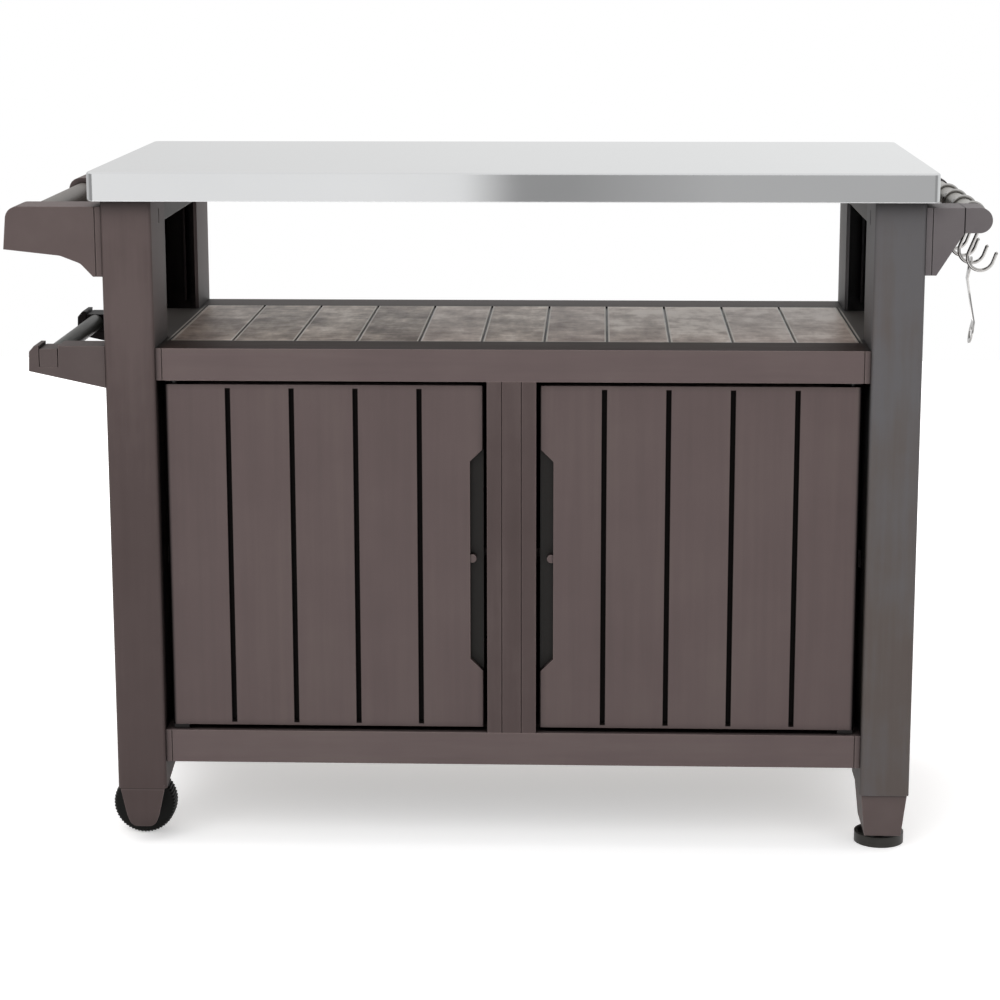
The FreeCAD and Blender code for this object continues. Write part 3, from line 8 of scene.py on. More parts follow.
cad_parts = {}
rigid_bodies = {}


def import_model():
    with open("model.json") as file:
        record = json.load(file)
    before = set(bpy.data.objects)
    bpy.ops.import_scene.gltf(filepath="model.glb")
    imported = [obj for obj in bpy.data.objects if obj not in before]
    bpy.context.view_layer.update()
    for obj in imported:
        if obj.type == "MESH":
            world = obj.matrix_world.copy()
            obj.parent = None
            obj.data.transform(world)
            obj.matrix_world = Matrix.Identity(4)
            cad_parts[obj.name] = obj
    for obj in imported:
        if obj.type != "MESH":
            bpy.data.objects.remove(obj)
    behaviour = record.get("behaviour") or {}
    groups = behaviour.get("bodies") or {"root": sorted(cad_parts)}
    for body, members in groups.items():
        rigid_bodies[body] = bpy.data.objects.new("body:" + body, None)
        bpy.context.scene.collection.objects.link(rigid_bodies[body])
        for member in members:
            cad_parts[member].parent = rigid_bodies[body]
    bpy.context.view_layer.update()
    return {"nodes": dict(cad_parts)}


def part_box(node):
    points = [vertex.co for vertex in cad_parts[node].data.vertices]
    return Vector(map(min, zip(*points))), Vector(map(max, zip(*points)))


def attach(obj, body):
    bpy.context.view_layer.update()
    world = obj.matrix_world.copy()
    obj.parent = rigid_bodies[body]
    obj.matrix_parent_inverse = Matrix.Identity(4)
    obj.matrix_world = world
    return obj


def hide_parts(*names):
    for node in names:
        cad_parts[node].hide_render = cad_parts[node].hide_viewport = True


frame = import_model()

for spare in [thing for thing in bpy.data.objects if thing.name in ("Cube", "Camera", "Light")]:
    bpy.data.objects.remove(spare)


# ---- Worktop ----
# One folded stainless sheet with a short skirt all round, lightly brushed along its
# length and left bare. It lies on a ribbed dark board that shows only from below.


class Wire:
    """A shader output. Arithmetic on it adds Math nodes and gives the next output."""

    def __init__(self, tree, socket=None):
        self.tree = tree
        self.socket = socket

    def node(self, kind, settings=None, inputs=None, output=0):
        """Adds a node: its settings first, a ramp's stops among them, then its inputs.
        Gives one output."""
        made = self.tree.nodes.new(kind)
        for name, value in (settings or {}).items():
            if name == "stops":
                ramp = made.color_ramp
                ramp.elements.remove(ramp.elements[-1])
                for number, (position, colour) in enumerate(value):
                    stop = ramp.elements.new(position) if number else ramp.elements[0]
                    stop.position = position
                    stop.color = colour
            else:
                setattr(made, name, value)
        for name, value in (inputs or {}).items():
            if isinstance(value, Wire):
                self.tree.links.new(value.socket, made.inputs[name])
            else:
                made.inputs[name].default_value = value
        return Wire(self.tree, made.outputs[output])

    def feed(self, shader, name):
        """Links this output to a socket of a shader."""
        self.tree.links.new(self.socket, shader.inputs[name])

    def math(self, operation, *values):
        return self.node("ShaderNodeMath", {"operation": operation}, dict(enumerate(values)))

    def __add__(self, other):
        return self.math("ADD", self, other)

    __radd__ = __add__

    def __sub__(self, other):
        return self.math("SUBTRACT", self, other)

    def __rsub__(self, other):
        return self.math("SUBTRACT", other, self)

    def __mul__(self, other):
        return self.math("MULTIPLY", self, other)

    __rmul__ = __mul__


def finish(name, **fixed):
    """A new material with a Principled shader, and the shader's Object coordinates."""
    made = bpy.data.materials.new(name)
    made.use_nodes = True
    shader = made.node_tree.nodes["Principled BSDF"]
    for socket, value in fixed.items():
        shader.inputs[socket.replace("_", " ")].default_value = value
    place = Wire(made.node_tree).node("ShaderNodeTexCoord", output="Object")
    return made, shader, place


def noise(place, scale, detail=2.0, roughness=0.5):
    """Cloud noise from 0 to 1 with so many cells a metre along X, Y and Z."""
    spread = place.node("ShaderNodeMapping", {}, {"Vector": place, "Scale": scale})
    return place.node("ShaderNodeTexNoise", {},
                      {"Vector": spread, "Scale": 1.0, "Detail": detail, "Roughness": roughness})


def part(place, axis):
    """One coordinate of a place."""
    return place.node("ShaderNodeSeparateXYZ", {}, {0: place}, axis)


def blend(mask, first, second):
    """Colour that goes from the first to the second as the mask goes from 0 to 1."""
    return mask.node("ShaderNodeMix", {"data_type": "RGBA"}, {0: mask, 6: first, 7: second}, 2)


def rounding(place, radius):
    """Normal that rolls over edges within a radius, and a mask of how far it has rolled."""
    soft = place.node("ShaderNodeBevel", {"samples": 4}, {"Radius": radius})
    flat = place.node("ShaderNodeNewGeometry", output="Normal")
    level = place.node("ShaderNodeVectorMath", {"operation": "DOT_PRODUCT"}, {0: soft, 1: flat}, "Value")
    rolled = 1 - level
    return soft, rolled


def relief(height, strength, distance, soft):
    """Normal of a fine relief on top of rounded edges."""
    return height.node("ShaderNodeBump", {},
                       {"Height": height, "Strength": strength, "Distance": distance, "Normal": soft})


def band(value, low, high, blur):
    """Mask that is 1 where a value lies between two limits and fades out over a blur."""
    rise = value.node("ShaderNodeMapRange", {}, {0: value, 1: low - blur, 2: low, 3: 0.0, 4: 1.0})
    fall = value.node("ShaderNodeMapRange", {}, {0: value, 1: high, 2: high + blur, 3: 1.0, 4: 0.0})
    return rise * fall


def dress(made, *nodes):
    """Gives CAD nodes their finish, with round faces shaded smooth and sharp edges kept."""
    for node in nodes:
        piece = frame["nodes"][node]
        for slot in piece.material_slots:
            slot.material = made
        piece.data.shade_smooth()
        merge = piece.modifiers.new("merge", "WELD")
        merge.merge_threshold = 0.00002
        crease = piece.modifiers.new("crease", "EDGE_SPLIT")
        crease.split_angle = math.radians(28)


steel, shader, place = finish("worktop_steel", Metallic=1.0)
soft, rolled = rounding(place, 0.0016)
brushed = noise(place, (6, 900, 900), 3.0)
smudge = noise(place, (3.2, 4.1, 6.0), 3.0, 0.6)
blend(smudge, (0.56, 0.565, 0.57, 1), (0.62, 0.625, 0.63, 1)).feed(shader, "Base Color")
(0.022 + smudge * 0.022 + brushed * 0.024).feed(shader, "Roughness")
relief(brushed, 0.03, 0.0003, soft).feed(shader, "Normal")
dress(steel, "table_top")


def resin(name, dark, warm, pale, stretch, reach=0.012, marks=None, painted_light_lift=None):
    """Moulded resin: a cloudy colour between three tones, with a painted highlight along its edges
    and painted shade in corners within a reach, and a fine spark texture. Marks gives masks and
    their colours; a lift gives two heights between which the tone rises by a share (painted light)."""
    made, shader, place = finish(name, Specular_IOR_Level=0.22)
    soft, rolled = rounding(place, 0.0018)
    cloud = noise(place, (6, 6, 6), 4.0, 0.6)
    streak = noise(place, stretch, 3.0, 0.6)
    grain = noise(place, (1100, 1100, 1100), 2.0)
    spread = cloud * 0.55 + streak * 0.45
    # painted light: the tone rises towards the top between the lift's two heights
    if painted_light_lift:
        bottom, top, share = painted_light_lift
        spread = spread + place.node("ShaderNodeMapRange", {},
                                     {0: part(place, "Z"), 1: bottom, 2: top, 3: 0.0, 4: share})
    stops = [(0.3, dark + (1,)), (0.5, warm + (1,)), (0.72, pale + (1,))]
    tone = cloud.node("ShaderNodeValToRGB", {"stops": stops}, {0: spread})
    # painted highlight: the tone pales to a bright edge colour where the edges roll
    edge = tuple(min(channel * 2.2, 1) for channel in pale) + (1,)
    tone = blend(cloud.math("MINIMUM", rolled * 3.5, 0.8), tone, edge)
    for mask, colour in marks(place) if marks else ():
        tone = blend(mask, tone, colour)
    # painted shade: the tone goes to near black in corners and recesses within the reach
    open_air = place.node("ShaderNodeAmbientOcclusion", {"samples": 6}, {"Distance": reach}, "AO")
    open_air = open_air.node("ShaderNodeMapRange", {}, {0: open_air, 1: 0.35, 2: 0.97, 3: 0.0, 4: 1.0})
    tone = blend(open_air, (0.004, 0.0035, 0.0035, 1), tone)
    tone.feed(shader, "Base Color")
    # where painted shade or a black mark makes the colour near black, it loses its gloss too
    gloss_off = tone.node("ShaderNodeMapRange", {}, {0: tone, 1: 0.006, 2: 0.018, 3: 0.9, 4: 0.0})
    gloss_off.feed(shader, "Metallic")
    (0.46 + streak * 0.1 + grain * 0.1).feed(shader, "Roughness")
    relief(grain * 0.6 + streak * 0.4, 0.28, 0.00025, soft).feed(shader, "Normal")
    return made


board = resin("board_resin", (0.034, 0.027, 0.026), (0.040, 0.032, 0.030), (0.048, 0.040, 0.037),
              (30, 30, 30))
dress(board, "table_core", "cabinet_floor", "centre_partition", "inner_shelf_left",
      "inner_shelf_right", "shelf_cleats")

# ---- Posts, beams and rails ----
# Moulded resin channels and ribbed beams in a warm dark grey, matt with a fine spark
# texture and very faint streaks along the mould's flow. They clip together.


def foot_seam_and_painted_highlight(place):
    """Fine dark seam across a post above its wheel tongue, with a painted highlight on its lower lip."""
    height = part(place, "Z")
    return [(band(height, 0.0794, 0.0800, 0.0004) * 0.6, (0.012, 0.009, 0.009, 1)),
            (band(height, 0.0776, 0.0784, 0.0004) * 0.2, (0.150, 0.125, 0.120, 1))]


# painted light: the left posts and the centre stile get lighter towards the top
post = resin("post_resin", (0.054, 0.038, 0.036), (0.063, 0.045, 0.043), (0.086, 0.064, 0.061),
             (60, 60, 4), 0.05, foot_seam_and_painted_highlight, (0.55, 0.86, 0.22))
dress(post, "post_front_left", "post_back_left", "centre_stile")
# painted light: the right posts take a greyer, cooler copy of the post resin for the cooler light on that
# side, lighter and neutral towards the top
post_painted_cool_light = resin("post_resin_painted_cool_light", (0.072, 0.054, 0.051), (0.082, 0.068, 0.062),
                  (0.092, 0.088, 0.091), (60, 60, 4), 0.05, None, (0.25, 0.86, 0.26))
dress(post_painted_cool_light, "post_front_right", "post_back_right")
beam_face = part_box("shelf_front_beam")[0].y
beam_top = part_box("shelf_front_beam")[1].z


def beam_ledge_painted_shade(place):
    """Painted shade, broken by streaks, on the ledge on top of the beams, kept clear of the front arris so
    that its painted edge highlight stays.
    """
    ledge = band(part(place, "Z"), beam_top - 0.0004, beam_top + 0.001, 0.0003)
    behind = band(part(place, "Y"), beam_face + 0.0035, 0.4, 0.001)
    streak = noise(place, (18, 420, 420), 3.0, 0.6)
    return [(ledge * behind * place.math("MINIMUM", 0.55 + streak * 0.8, 1.0),
             (0.024, 0.012, 0.009, 1))]


beam = resin("beam_resin", (0.090, 0.066, 0.065), (0.102, 0.076, 0.074), (0.116, 0.090, 0.085),
             (5, 60, 60), 0.012, beam_ledge_painted_shade)
dress(beam, "shelf_front_beam", "shelf_back_beam", "bottom_front_rail", "bottom_back_rail")

low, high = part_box("shelf_panel")
rail_edge = (high.x - low.x) / 2
shelf_middle = (low.x + high.x) / 2


def side_rail_marks(place):
    """Dark joint along the planks' ends, with a painted highlight on the moulded lip beside it."""
    across = place.math("ABSOLUTE", part(place, "X") - shelf_middle)
    return [(band(across, rail_edge + 0.003, rail_edge + 0.0048, 0.0005), (0.40, 0.38, 0.35, 1)),
            (band(across, rail_edge - 0.001, rail_edge + 0.0018, 0.0005), (0.004, 0.004, 0.004, 1))]


side_rail = resin("rail_resin", (0.052, 0.047, 0.044), (0.062, 0.056, 0.052), (0.078, 0.072, 0.066),
                  (60, 5, 60), 0.03, side_rail_marks)
dress(side_rail, "top_side_rail_left", "top_side_rail_right", "shelf_side_rail_left",
      "shelf_side_rail_right")

# ---- Plank shelf ----
# One resin board moulded as eleven planks, with a slight satin gloss and a mottled
# surface that breaks up the light at a low angle. It drops between the beams.

low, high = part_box("shelf_panel")
planks = 11
plank_width = (high.x - low.x) / planks
plank, shader, place = finish("plank_resin", Specular_IOR_Level=0.5)
soft, rolled = rounding(place, 0.0022)
across, back = (part(place, axis) for axis in "XY")
number = place.math("FLOOR", (across - low.x) * (1 / plank_width))
own = number.node("ShaderNodeTexWhiteNoise", {"noise_dimensions": "1D"}, {"W": number + 0.37}, "Value")
step = number.node("ShaderNodeCombineXYZ", {}, {1: number * 0.61, 2: number * 0.23})
shift = place.node("ShaderNodeVectorMath", {"operation": "ADD"}, {0: place, 1: step})
blotch = noise(shift, (20, 17, 20), 5.0, 0.62)
figure = noise(shift, (70, 18, 70), 4.0, 0.65)
cross = noise(shift, (12, 150, 12), 3.0, 0.6)
grain = noise(place, (1000, 1000, 1000), 2.0)
# painted light: rise makes the planks lighter towards the right, a painted sheen; forward makes them
# darker towards the front
rise = across.node("ShaderNodeMapRange", {}, {0: across, 1: low.x, 2: high.x, 3: -0.080, 4: 0.120})
forward = back.node("ShaderNodeMapRange", {}, {0: back, 1: low.y, 2: low.y + 0.3, 3: -0.055, 4: 0.02})
spread = blotch * 0.62 + figure * 0.26 + cross * 0.2 + own * 0.08 - 0.08 + rise + forward
# the cloudy tone is partly the planks' own mottled colour and partly painted sheen in its palest patches
tone = spread.node("ShaderNodeValToRGB", {"stops": [
    (0.35, (0.100, 0.070, 0.052, 1)), (0.45, (0.250, 0.190, 0.145, 1)), (0.53, (0.420, 0.330, 0.260, 1)),
    (0.64, (0.760, 0.670, 0.570, 1))]}, {0: spread})
pinkish = blend(spread, (0.200, 0.130, 0.118, 1), (0.640, 0.510, 0.470, 1))
tone = blend(number.math("PINGPONG", own * 2.3, 0.5), tone, pinkish)
# painted highlight along the planks' rounded edges
tone = blend(place.math("MINIMUM", rolled * 5, 0.85), tone, (0.75, 0.70, 0.64, 1))
joint = number.math("PINGPONG", across - low.x, plank_width / 2)
inside = band(across, low.x + plank_width / 2, high.x - plank_width / 2, 0.001)
# painted highlight beside each groove between the planks, then painted shade in the groove
tone = blend(band(joint, 0.0019, 0.0034, 0.0004) * 0.75, tone, (0.62, 0.58, 0.53, 1))
tone = blend(band(joint, -0.001, 0.0013, 0.0003) * inside, tone, (0.004, 0.003, 0.003, 1))
# painted highlight along the planks' front edge, then a dark joint where they meet the beam
tone = blend(band(back, low.y + 0.0022, low.y + 0.0050, 0.0006) * 0.7, tone, (0.50, 0.44, 0.38, 1))
tone = blend(band(back, low.y - 0.001, low.y + 0.0020, 0.0004), tone, (0.008, 0.006, 0.005, 1))
tone.feed(shader, "Base Color")
(0.66 - spread * 0.5 + grain * 0.06).feed(shader, "Roughness")
relief(blotch * 0.3 + figure * 0.3 + grain * 0.4, 0.35, 0.0006, soft).feed(shader, "Normal")
dress(plank, "shelf_panel")

# ---- Cabinet walls and doors ----
# Flat resin boards with moulded plank grooves, in the frame's colour but smoother.
# The doors turn on blackened pins in small black bushes and have cut-away finger pulls.

low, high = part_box("door_left")
far_low, far_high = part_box("door_right")
middle = (low.x + far_high.x) / 2
door_inner = far_low.x - middle
door_width = far_high.x - far_low.x
door_plank = door_width / 5


def door_painted_shade(place):
    """Painted shade: black in the plank grooves, and along a door's hinge edge."""
    across = place.math("ABSOLUTE", part(place, "X") - middle) - door_inner
    height = part(place, "Z")
    groove = place.math("PINGPONG", across, door_plank / 2)
    inner = band(across, door_plank / 2, door_width - door_plank / 2, 0.001)
    front = band(part(place, "Y"), low.y - 0.001, low.y + 0.0048, 0.0004)
    ends = band(height, low.z + 0.0040, high.z - 0.0050, 0.0008)
    shade = place.node("ShaderNodeMapRange", {"interpolation_type": "SMOOTHSTEP"},
                       {0: across, 1: door_width - 0.0075, 2: door_width - 0.0015, 3: 0.0, 4: 0.97})
    return [(shade, (0.004, 0.0035, 0.0035, 1)),
            (band(groove, -0.001, 0.0032, 0.0007) * inner * front * ends, (0.0025, 0.0015, 0.0012, 1))]


door = resin("door_resin", (0.079, 0.058, 0.056), (0.090, 0.066, 0.064), (0.102, 0.078, 0.073),
             (90, 90, 3), 0.014, door_painted_shade)
dress(door, "door_left", "door_right")
wall = resin("wall_resin", (0.074, 0.054, 0.052), (0.084, 0.062, 0.059), (0.096, 0.074, 0.069),
             (90, 90, 3))
dress(wall, "side_panel_left", "side_panel_right", "back_panel")

# near black: partly a dark lining and partly painted shade in the pull's recess
liner, shader, place = finish("pull_lining", Specular_IOR_Level=0.25)
soft, rolled = rounding(place, 0.0008)
grain = noise(place, (700, 700, 700), 2.0)
blend(grain, (0.008, 0.007, 0.006, 1), (0.014, 0.012, 0.011, 1)).feed(shader, "Base Color")
(0.5 + grain * 0.2).feed(shader, "Roughness")
relief(grain, 0.2, 0.0002, soft).feed(shader, "Normal")
dress(liner, "door_left_pull", "door_right_pull")

bush, shader, place = finish("bush_plastic", Specular_IOR_Level=0.2)
soft, rolled = rounding(place, 0.0008)
cloud = noise(place, (60, 60, 60), 2.0)
blend(cloud, (0.005, 0.004, 0.004, 1), (0.010, 0.008, 0.008, 1)).feed(shader, "Base Color")
(0.36 + cloud * 0.12).feed(shader, "Roughness")
relief(cloud, 0.1, 0.0002, soft).feed(shader, "Normal")
dress(bush, "hinge_bushes", "door_catches")

pin, shader, place = finish("pin_steel", Metallic=0.6)
soft, rolled = rounding(place, 0.0005)
turned = noise(place, (80, 80, 900), 2.0)
blend(turned, (0.012, 0.012, 0.012, 1), (0.030, 0.029, 0.028, 1)).feed(shader, "Base Color")
(0.22 + turned * 0.15).feed(shader, "Roughness")
relief(turned, 0.1, 0.0001, soft).feed(shader, "Normal")
dress(pin, "door_left_pins", "door_right_pins", "wheel_axles")

# ---- Push handle, towel bar and their brackets ----
# Hollow resin arms bolted to the left posts, a shade paler than the frame. The bars
# between them are steel tube with a dark speckled powder coat.

arm = resin("arm_resin", (0.078, 0.058, 0.056), (0.088, 0.066, 0.063), (0.100, 0.078, 0.074),
            (20, 20, 20))
dress(arm, "handle_bracket_front", "handle_bracket_back", "wheel_fork_front", "wheel_fork_back",
      "leg_foot_front", "leg_foot_back")


def towel_back_painted_shade(place):
    """Painted shade: the bracket and block at the back are painted black."""
    return [(band(part(place, "Y"), 0.0, 0.3, 0.001) * 0.93, (0.003, 0.003, 0.003, 1))]


towel = resin("towel_resin", (0.062, 0.047, 0.045), (0.072, 0.055, 0.053), (0.086, 0.068, 0.064),
              (20, 20, 20), 0.012, towel_back_painted_shade)
dress(towel, "towel_bracket_front", "towel_bracket_back", "towel_bar_ends")

cap_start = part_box("rail_cap_front")[0].x


def cap_marks(place):
    """Dark joint where a rounded cap meets its bracket."""
    joint = band(part(place, "X"), cap_start - 0.0006, cap_start + 0.0006, 0.0003)
    return [(joint, (0.008, 0.007, 0.007, 1))]


# painted light: the rail brackets and caps take a greyer, cooler copy of the frame resin for the cooler
# light on the right
grey = resin("bracket_resin_painted_cool_light", (0.094, 0.083, 0.086), (0.108, 0.096, 0.099), (0.122, 0.111, 0.112),
             (20, 20, 20), 0.012, cap_marks)
dress(grey, "rail_bracket_front", "rail_bracket_back", "rail_cap_front", "rail_cap_back")

for name, dark, pale, node in (
        ("grip_coat", (0.050, 0.043, 0.038, 1), (0.135, 0.120, 0.107, 1), "handle_bar"),
        ("bar_coat", (0.020, 0.021, 0.019, 1), (0.080, 0.082, 0.075, 1), "towel_bar")):
    coat, shader, place = finish(name, Specular_IOR_Level=0.4)
    soft, rolled = rounding(place, 0.001)
    speckle = noise(place, (420, 420, 420), 2.0, 0.7)
    # painted shade: the coat goes to near black where the bar runs into its brackets and ends
    open_air = place.node("ShaderNodeAmbientOcclusion", {"samples": 6}, {"Distance": 0.04}, "AO")
    blend(open_air, (0.004, 0.004, 0.004, 1), blend(speckle, dark, pale)).feed(shader, "Base Color")
    (0.34 + speckle * 0.2).feed(shader, "Roughness")
    relief(speckle, 0.45, 0.0005, soft).feed(shader, "Normal")
    dress(coat, node)

# ---- Utensil rail ----
# Aluminium tube with a pale satin coat, held in a capped bracket at each end.

satin, shader, place = finish("rail_satin", Metallic=0.75)
soft, rolled = rounding(place, 0.001)
drawn = noise(place, (700, 8, 700), 2.0)
blend(drawn, (0.27, 0.26, 0.24, 1), (0.38, 0.37, 0.345, 1)).feed(shader, "Base Color")
(0.3 + drawn * 0.12).feed(shader, "Roughness")
relief(drawn, 0.1, 0.0002, soft).feed(shader, "Normal")
dress(satin, "hook_rail")

# ---- Hooks and bottle opener ----
# Four hooks of plated round wire: a loop that hangs on the rail, a straight shank and
# an open bowl with a short flared tip. A stamped plated opener hangs on the second.


def surface(name, grid, made, ring=False):
    """Mesh of a grid of points whose rows close round on themselves. The two end rows
    run into a pole at their middle, or, for a ring, into each other."""
    rows, columns = grid.shape[:2]
    here = np.arange(rows * columns).reshape(rows, columns)
    if ring:
        here = np.vstack([here, here[:1]])
    right = np.roll(here, -1, axis=1)
    quads = np.stack([here[:-1], right[:-1], right[1:], here[1:]], axis=-1).reshape(-1, 4)
    points = grid.reshape(-1, 3)
    faces = quads.tolist()
    if not ring:
        points = np.vstack([points, grid[0].mean(axis=0), grid[-1].mean(axis=0)])
        pole = np.full(columns, len(points) - 2)
        faces += np.stack([pole, right[0], here[0]], axis=-1).tolist()
        faces += np.stack([pole + 1, here[-1], right[-1]], axis=-1).tolist()
    mesh = bpy.data.meshes.new(name)
    mesh.from_pydata(points.tolist(), [], faces)
    mesh.shade_smooth()
    mesh.materials.append(made)
    piece = bpy.data.objects.new(name, mesh)
    bpy.context.scene.collection.objects.link(piece)
    return piece


def hook_line(rail, bowl, loop_radius, bowl_radius, opening, stop, tip):
    """Middle line of a hook in the plane across the cart: an arc round the rail, the
    straight line that touches both circles, an arc round the bowl, and its tangent."""
    apart = bowl - rail
    bearing = math.atan2(apart[1], apart[0])
    leave = bearing + math.acos((loop_radius + bowl_radius) / np.hypot(*apart))
    over = np.linspace(opening, leave, 60)
    under = np.linspace((leave + math.pi) % (2 * math.pi), stop, 60)
    loop = rail + loop_radius * np.stack([np.cos(over), np.sin(over)], axis=-1)
    round_bowl = bowl + bowl_radius * np.stack([np.cos(under), np.sin(under)], axis=-1)
    heading = stop + math.pi / 2
    flare = round_bowl[-1] + np.outer(np.linspace(0.1, 1, 8) * tip, [math.cos(heading), math.sin(heading)])
    shank = np.linspace(loop[-1], round_bowl[0], 14)[1:-1]
    return np.vstack([loop, shank, round_bowl, flare])


def tube(line, across, radius):
    """Round tube along a line in an upright plane: each point carries a circle square to
    the line, which shrinks as half a ball at both ends."""
    along = np.gradient(line, axis=0)
    along /= np.linalg.norm(along, axis=1, keepdims=True)
    length = np.append(0, np.cumsum(np.linalg.norm(np.diff(line, axis=0), axis=1)))
    near_end = np.minimum(np.minimum(length, length[-1] - length) / radius, 1)
    reach = radius * np.maximum(np.sqrt(1 - (1 - near_end) ** 2), 0.2)
    turn = np.linspace(0, 2 * math.pi, 24, endpoint=False)
    side = np.stack([along[:, 1], -along[:, 0]], axis=-1)
    flat = line[:, None, :] + (reach[:, None] * np.cos(turn))[:, :, None] * side[:, None, :]
    depth = across + reach[:, None] * np.sin(turn)
    return np.stack([flat[:, :, 0], depth, flat[:, :, 1]], axis=-1)


chrome, shader, place = finish("hook_chrome", Metallic=1.0)
soft, rolled = rounding(place, 0.0005)
wear = noise(place, (300, 300, 300), 2.0)
blend(wear, (0.30, 0.29, 0.28, 1), (0.46, 0.45, 0.44, 1)).feed(shader, "Base Color")
(0.06 + wear * 0.08).feed(shader, "Roughness")
relief(wear, 0.05, 0.0001, soft).feed(shader, "Normal")

low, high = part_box("hook_rail")
rail = np.array([(low.x + high.x) / 2, (low.z + high.z) / 2])
bowl = rail + np.array([0.013, -0.055])
loop_radius, bowl_radius, wire_radius, tip = 0.01585, 0.017, 0.00235, 0.0138
line = hook_line(rail, bowl, loop_radius, bowl_radius, math.radians(215), math.radians(340), tip)
for number, body in enumerate(("first_hook", "second_hook", "third_hook", "fourth_hook"), 1):
    low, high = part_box(f"hook_{number}")
    piece = surface(f"wire_hook_{number}", tube(line, (low.y + high.y) / 2, wire_radius), chrome)
    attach(piece, body)
    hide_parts(f"hook_{number}")

dress(chrome, "bottle_opener")

# ---- Wheels ----
# Hard black tyres with fine ribs moulded across a rounded tread, pressed on plain
# black hubs. They turn on steel axles between the cheeks of their forks.


def tyre(middle, radius, bore, half, ribs, depth):
    """Ring about a line that runs front to back. Its section is a rounded rectangle, and
    the tread's radius falls by a smooth wave of so many ribs round the wheel."""
    turn = np.linspace(0, 2 * math.pi, ribs * 8, endpoint=False)
    shoulder = 0.006
    bend = np.linspace(0, math.pi / 2, 7)
    reach = np.concatenate([[bore], [radius - 0.014], radius - shoulder + shoulder * np.sin(bend)])
    offset = np.concatenate([[half], [half], half - shoulder + shoulder * np.cos(bend)])
    reach = np.concatenate([reach, reach[::-1]])
    offset = np.concatenate([offset, -offset[::-1]])
    tread = np.clip((reach - radius + shoulder) / shoulder, 0, 1)
    wave = np.clip(1.4 * np.cos(turn * ribs) - 0.2, -1, 1)
    surface_reach = reach[:, None] - depth * tread[:, None] * (1 - wave) / 2
    return np.stack([middle[0] + surface_reach * np.cos(turn), middle[1] + offset[:, None] + 0 * turn,
                     middle[2] + surface_reach * np.sin(turn)], axis=-1)


rubber, shader, place = finish("tyre_black", Specular_IOR_Level=0.12)
soft, rolled = rounding(place, 0.0008)
dust = noise(place, (90, 90, 90), 4.0, 0.65)
grain = noise(place, (900, 900, 900), 1.0)
blend(dust, (0.002, 0.002, 0.002, 1), (0.007, 0.007, 0.006, 1)).feed(shader, "Base Color")
(0.38 + dust * 0.25).feed(shader, "Roughness")
relief(grain, 0.2, 0.0002, soft).feed(shader, "Normal")
axle_height, tyre_radius, tyre_bore, half_width = 0.042, 0.0419, 0.014, 0.017
ribs, rib_depth = 56, 0.0015
for end in ("front", "back"):
    low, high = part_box(f"wheel_tyre_{end}")
    middle = [(low.x + high.x) / 2, (low.y + high.y) / 2, axle_height]
    grid = tyre(middle, tyre_radius, tyre_bore, half_width, ribs, rib_depth)
    piece = surface(f"ribbed_tyre_{end}", grid, rubber, ring=True)
    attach(piece, f"{end}_wheel")
    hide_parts(f"wheel_tyre_{end}")

hub, shader, place = finish("hub_black", Specular_IOR_Level=0.2)
soft, rolled = rounding(place, 0.001)
scuff = noise(place, (160, 160, 160), 3.0)
blend(scuff, (0.006, 0.006, 0.006, 1), (0.014, 0.013, 0.013, 1)).feed(shader, "Base Color")
(0.3 + scuff * 0.2).feed(shader, "Roughness")
relief(scuff, 0.1, 0.0002, soft).feed(shader, "Normal")
dress(hub, "wheel_hub_front", "wheel_hub_back")

# ---- Feet ----
# Round black pads with a dished top on screwed stems under the right posts.

pad, shader, place = finish("foot_black", Specular_IOR_Level=0.3)
soft, rolled = rounding(place, 0.0014)
scuff = noise(place, (120, 120, 120), 3.0)
blend(scuff, (0.016, 0.015, 0.013, 1), (0.036, 0.034, 0.030, 1)).feed(shader, "Base Color")
(0.34 + scuff * 0.22).feed(shader, "Roughness")
relief(scuff, 0.12, 0.0002, soft).feed(shader, "Normal")
dress(pad, "levelling_foot_front", "levelling_foot_back")

# ---- Studio ----
# A white floor that keeps the cart's shadow and soft lamps above and in front. Metal shows
# a bright softbox at the left, a dimmer one at the right and a darker gap between them.

mesh = bpy.data.meshes.new("floor")
reach, under = 4, -0.0003
corners = [(-reach, -reach, under), (reach, -reach, under), (reach, reach, under), (-reach, reach, under)]
mesh.from_pydata(corners, [], [(0, 1, 2, 3)])
floor = bpy.data.objects.new("floor", mesh)
bpy.context.scene.collection.objects.link(floor)
white, shader, place = finish("floor_white", Base_Color=(0.92, 0.92, 0.92, 1), Roughness=1.0,
                              Specular_IOR_Level=0.0, Emission_Strength=1.0)
rays = [place.node("ShaderNodeLightPath", output=f"Is {kind} Ray")
        for kind in ("Camera", "Glossy", "Transmission")]
away = place.node("ShaderNodeVectorMath", {"operation": "LENGTH"}, {0: place}, "Value")
far = place.node("ShaderNodeMapRange", {"interpolation_type": "SMOOTHSTEP"},
                 {0: away, 1: 0.9, 2: 2.2, 3: 0.0, 4: 1.0})
glow = blend(far, (0.41, 0.41, 0.41, 1), (0.8, 0.8, 0.8, 1))
blend(rays[0] + rays[1] + rays[2], (0, 0, 0, 1), glow).feed(shader, "Emission Color")
mesh.materials.append(white)

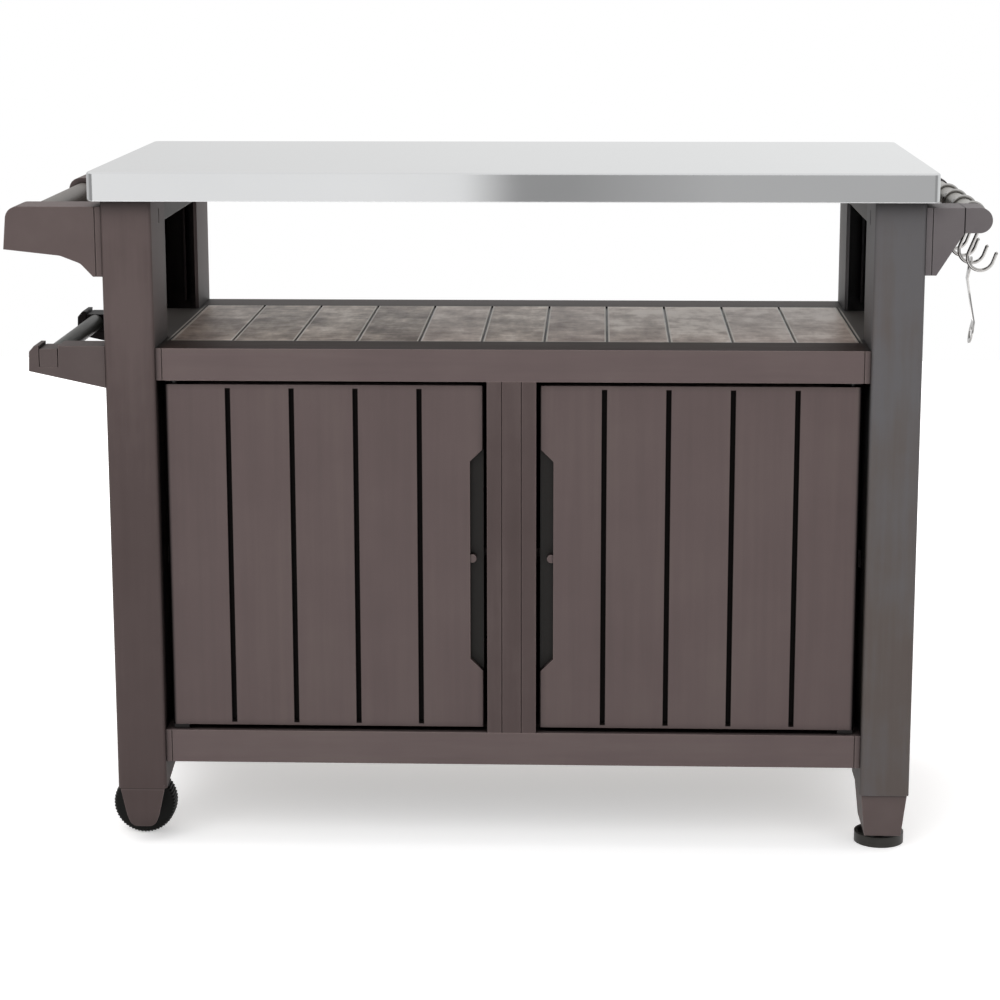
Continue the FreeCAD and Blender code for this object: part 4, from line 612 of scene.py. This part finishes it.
world = bpy.data.worlds.new("studio")
bpy.context.scene.world = world
world.use_nodes = True
sky = world.node_tree.nodes["Background"]
start = Wire(world.node_tree)
camera_ray, glossy_ray, through_ray = (start.node("ShaderNodeLightPath", output=f"Is {kind} Ray")
                                       for kind in ("Camera", "Glossy", "Transmission"))
aim = start.node("ShaderNodeTexCoord", output="Generated")
aim_across, aim_back, aim_up = (start.node("ShaderNodeSeparateXYZ", {}, {0: aim}, axis) for axis in "XYZ")
bearing = start.math("ARCTAN2", aim_across, 0 - aim_back)
left_softbox = band(bearing, -0.7, -0.06, 0.03)
right_softbox = band(bearing, 0.08, 0.8, 0.08)
room = blend(left_softbox, (0.45, 0.45, 0.45, 1), (1.2, 1.2, 1.2, 1))
room = blend(right_softbox, room, (0.65, 0.65, 0.65, 1))
behind = start.node("ShaderNodeMapRange", {"interpolation_type": "SMOOTHSTEP"},
                    {0: aim_back, 1: -0.25, 2: 0.1, 3: 0.0, 4: 1.0})
above = start.node("ShaderNodeMapRange", {"interpolation_type": "SMOOTHSTEP"},
                   {0: aim_up, 1: 0.3, 2: 0.6, 3: 0.0, 4: 1.0})
backdrop = start.node("ShaderNodeMapRange", {}, {0: aim_across, 1: -0.3, 2: 0.3, 3: 0.0, 4: 1.0})
backdrop = blend(backdrop, (0.74, 0.74, 0.74, 1), (0.96, 0.97, 0.97, 1))
lit = blend(above, blend(behind, room, backdrop), (1.15, 1.15, 1.15, 1))
seen = blend(camera_ray + through_ray, lit, (1, 1, 1, 1))
low_back = behind * (1 - above)
soft_light = blend(low_back, (0.6, 0.6, 0.61, 1), (1.5, 1.36, 1.22, 1))
blend(camera_ray + glossy_ray + through_ray, soft_light, seen).feed(sky, "Color")

for name, spot, aim_at, size, power in (
        ("key", (-1.2, -3.0, 2.6), (0, 0, 0.5), 2.4, 58), ("fill", (2.0, -3.0, 1.6), (0, 0, 0.5), 2.0, 16),
        ("top", (0, 0.6, 3.6), (0, 0, 0.4), 2.6, 42)):
    lamp = bpy.data.lights.new(name, "AREA")
    lamp.size = size
    lamp.energy = power
    holder = bpy.data.objects.new(name, lamp)
    holder.location = spot
    holder.rotation_euler = (Vector(aim_at) - Vector(spot)).to_track_quat("-Z", "Y").to_euler()
    holder.visible_glossy = False
    bpy.context.scene.collection.objects.link(holder)

# ---- Camera ----
# A long lens in front of the cart, a little above the worktop and slightly to the right.

lens = bpy.data.cameras.new("camera")
lens.lens = 95.27
lens.sensor_width = 36
camera = bpy.data.objects.new("camera", lens)
yaw, pitch, roll = 0.0375, 0.2075, -0.0014
camera.matrix_world = (Matrix.Translation((0.12344, -3.61212, 1.18535)) @ Matrix.Rotation(yaw, 4, "Z")
                       @ Matrix.Rotation(math.pi / 2 - pitch, 4, "X") @ Matrix.Rotation(roll, 4, "Z"))
bpy.context.scene.collection.objects.link(camera)
bpy.context.scene.camera = camera
bpy.context.scene.view_settings.view_transform = "Standard"
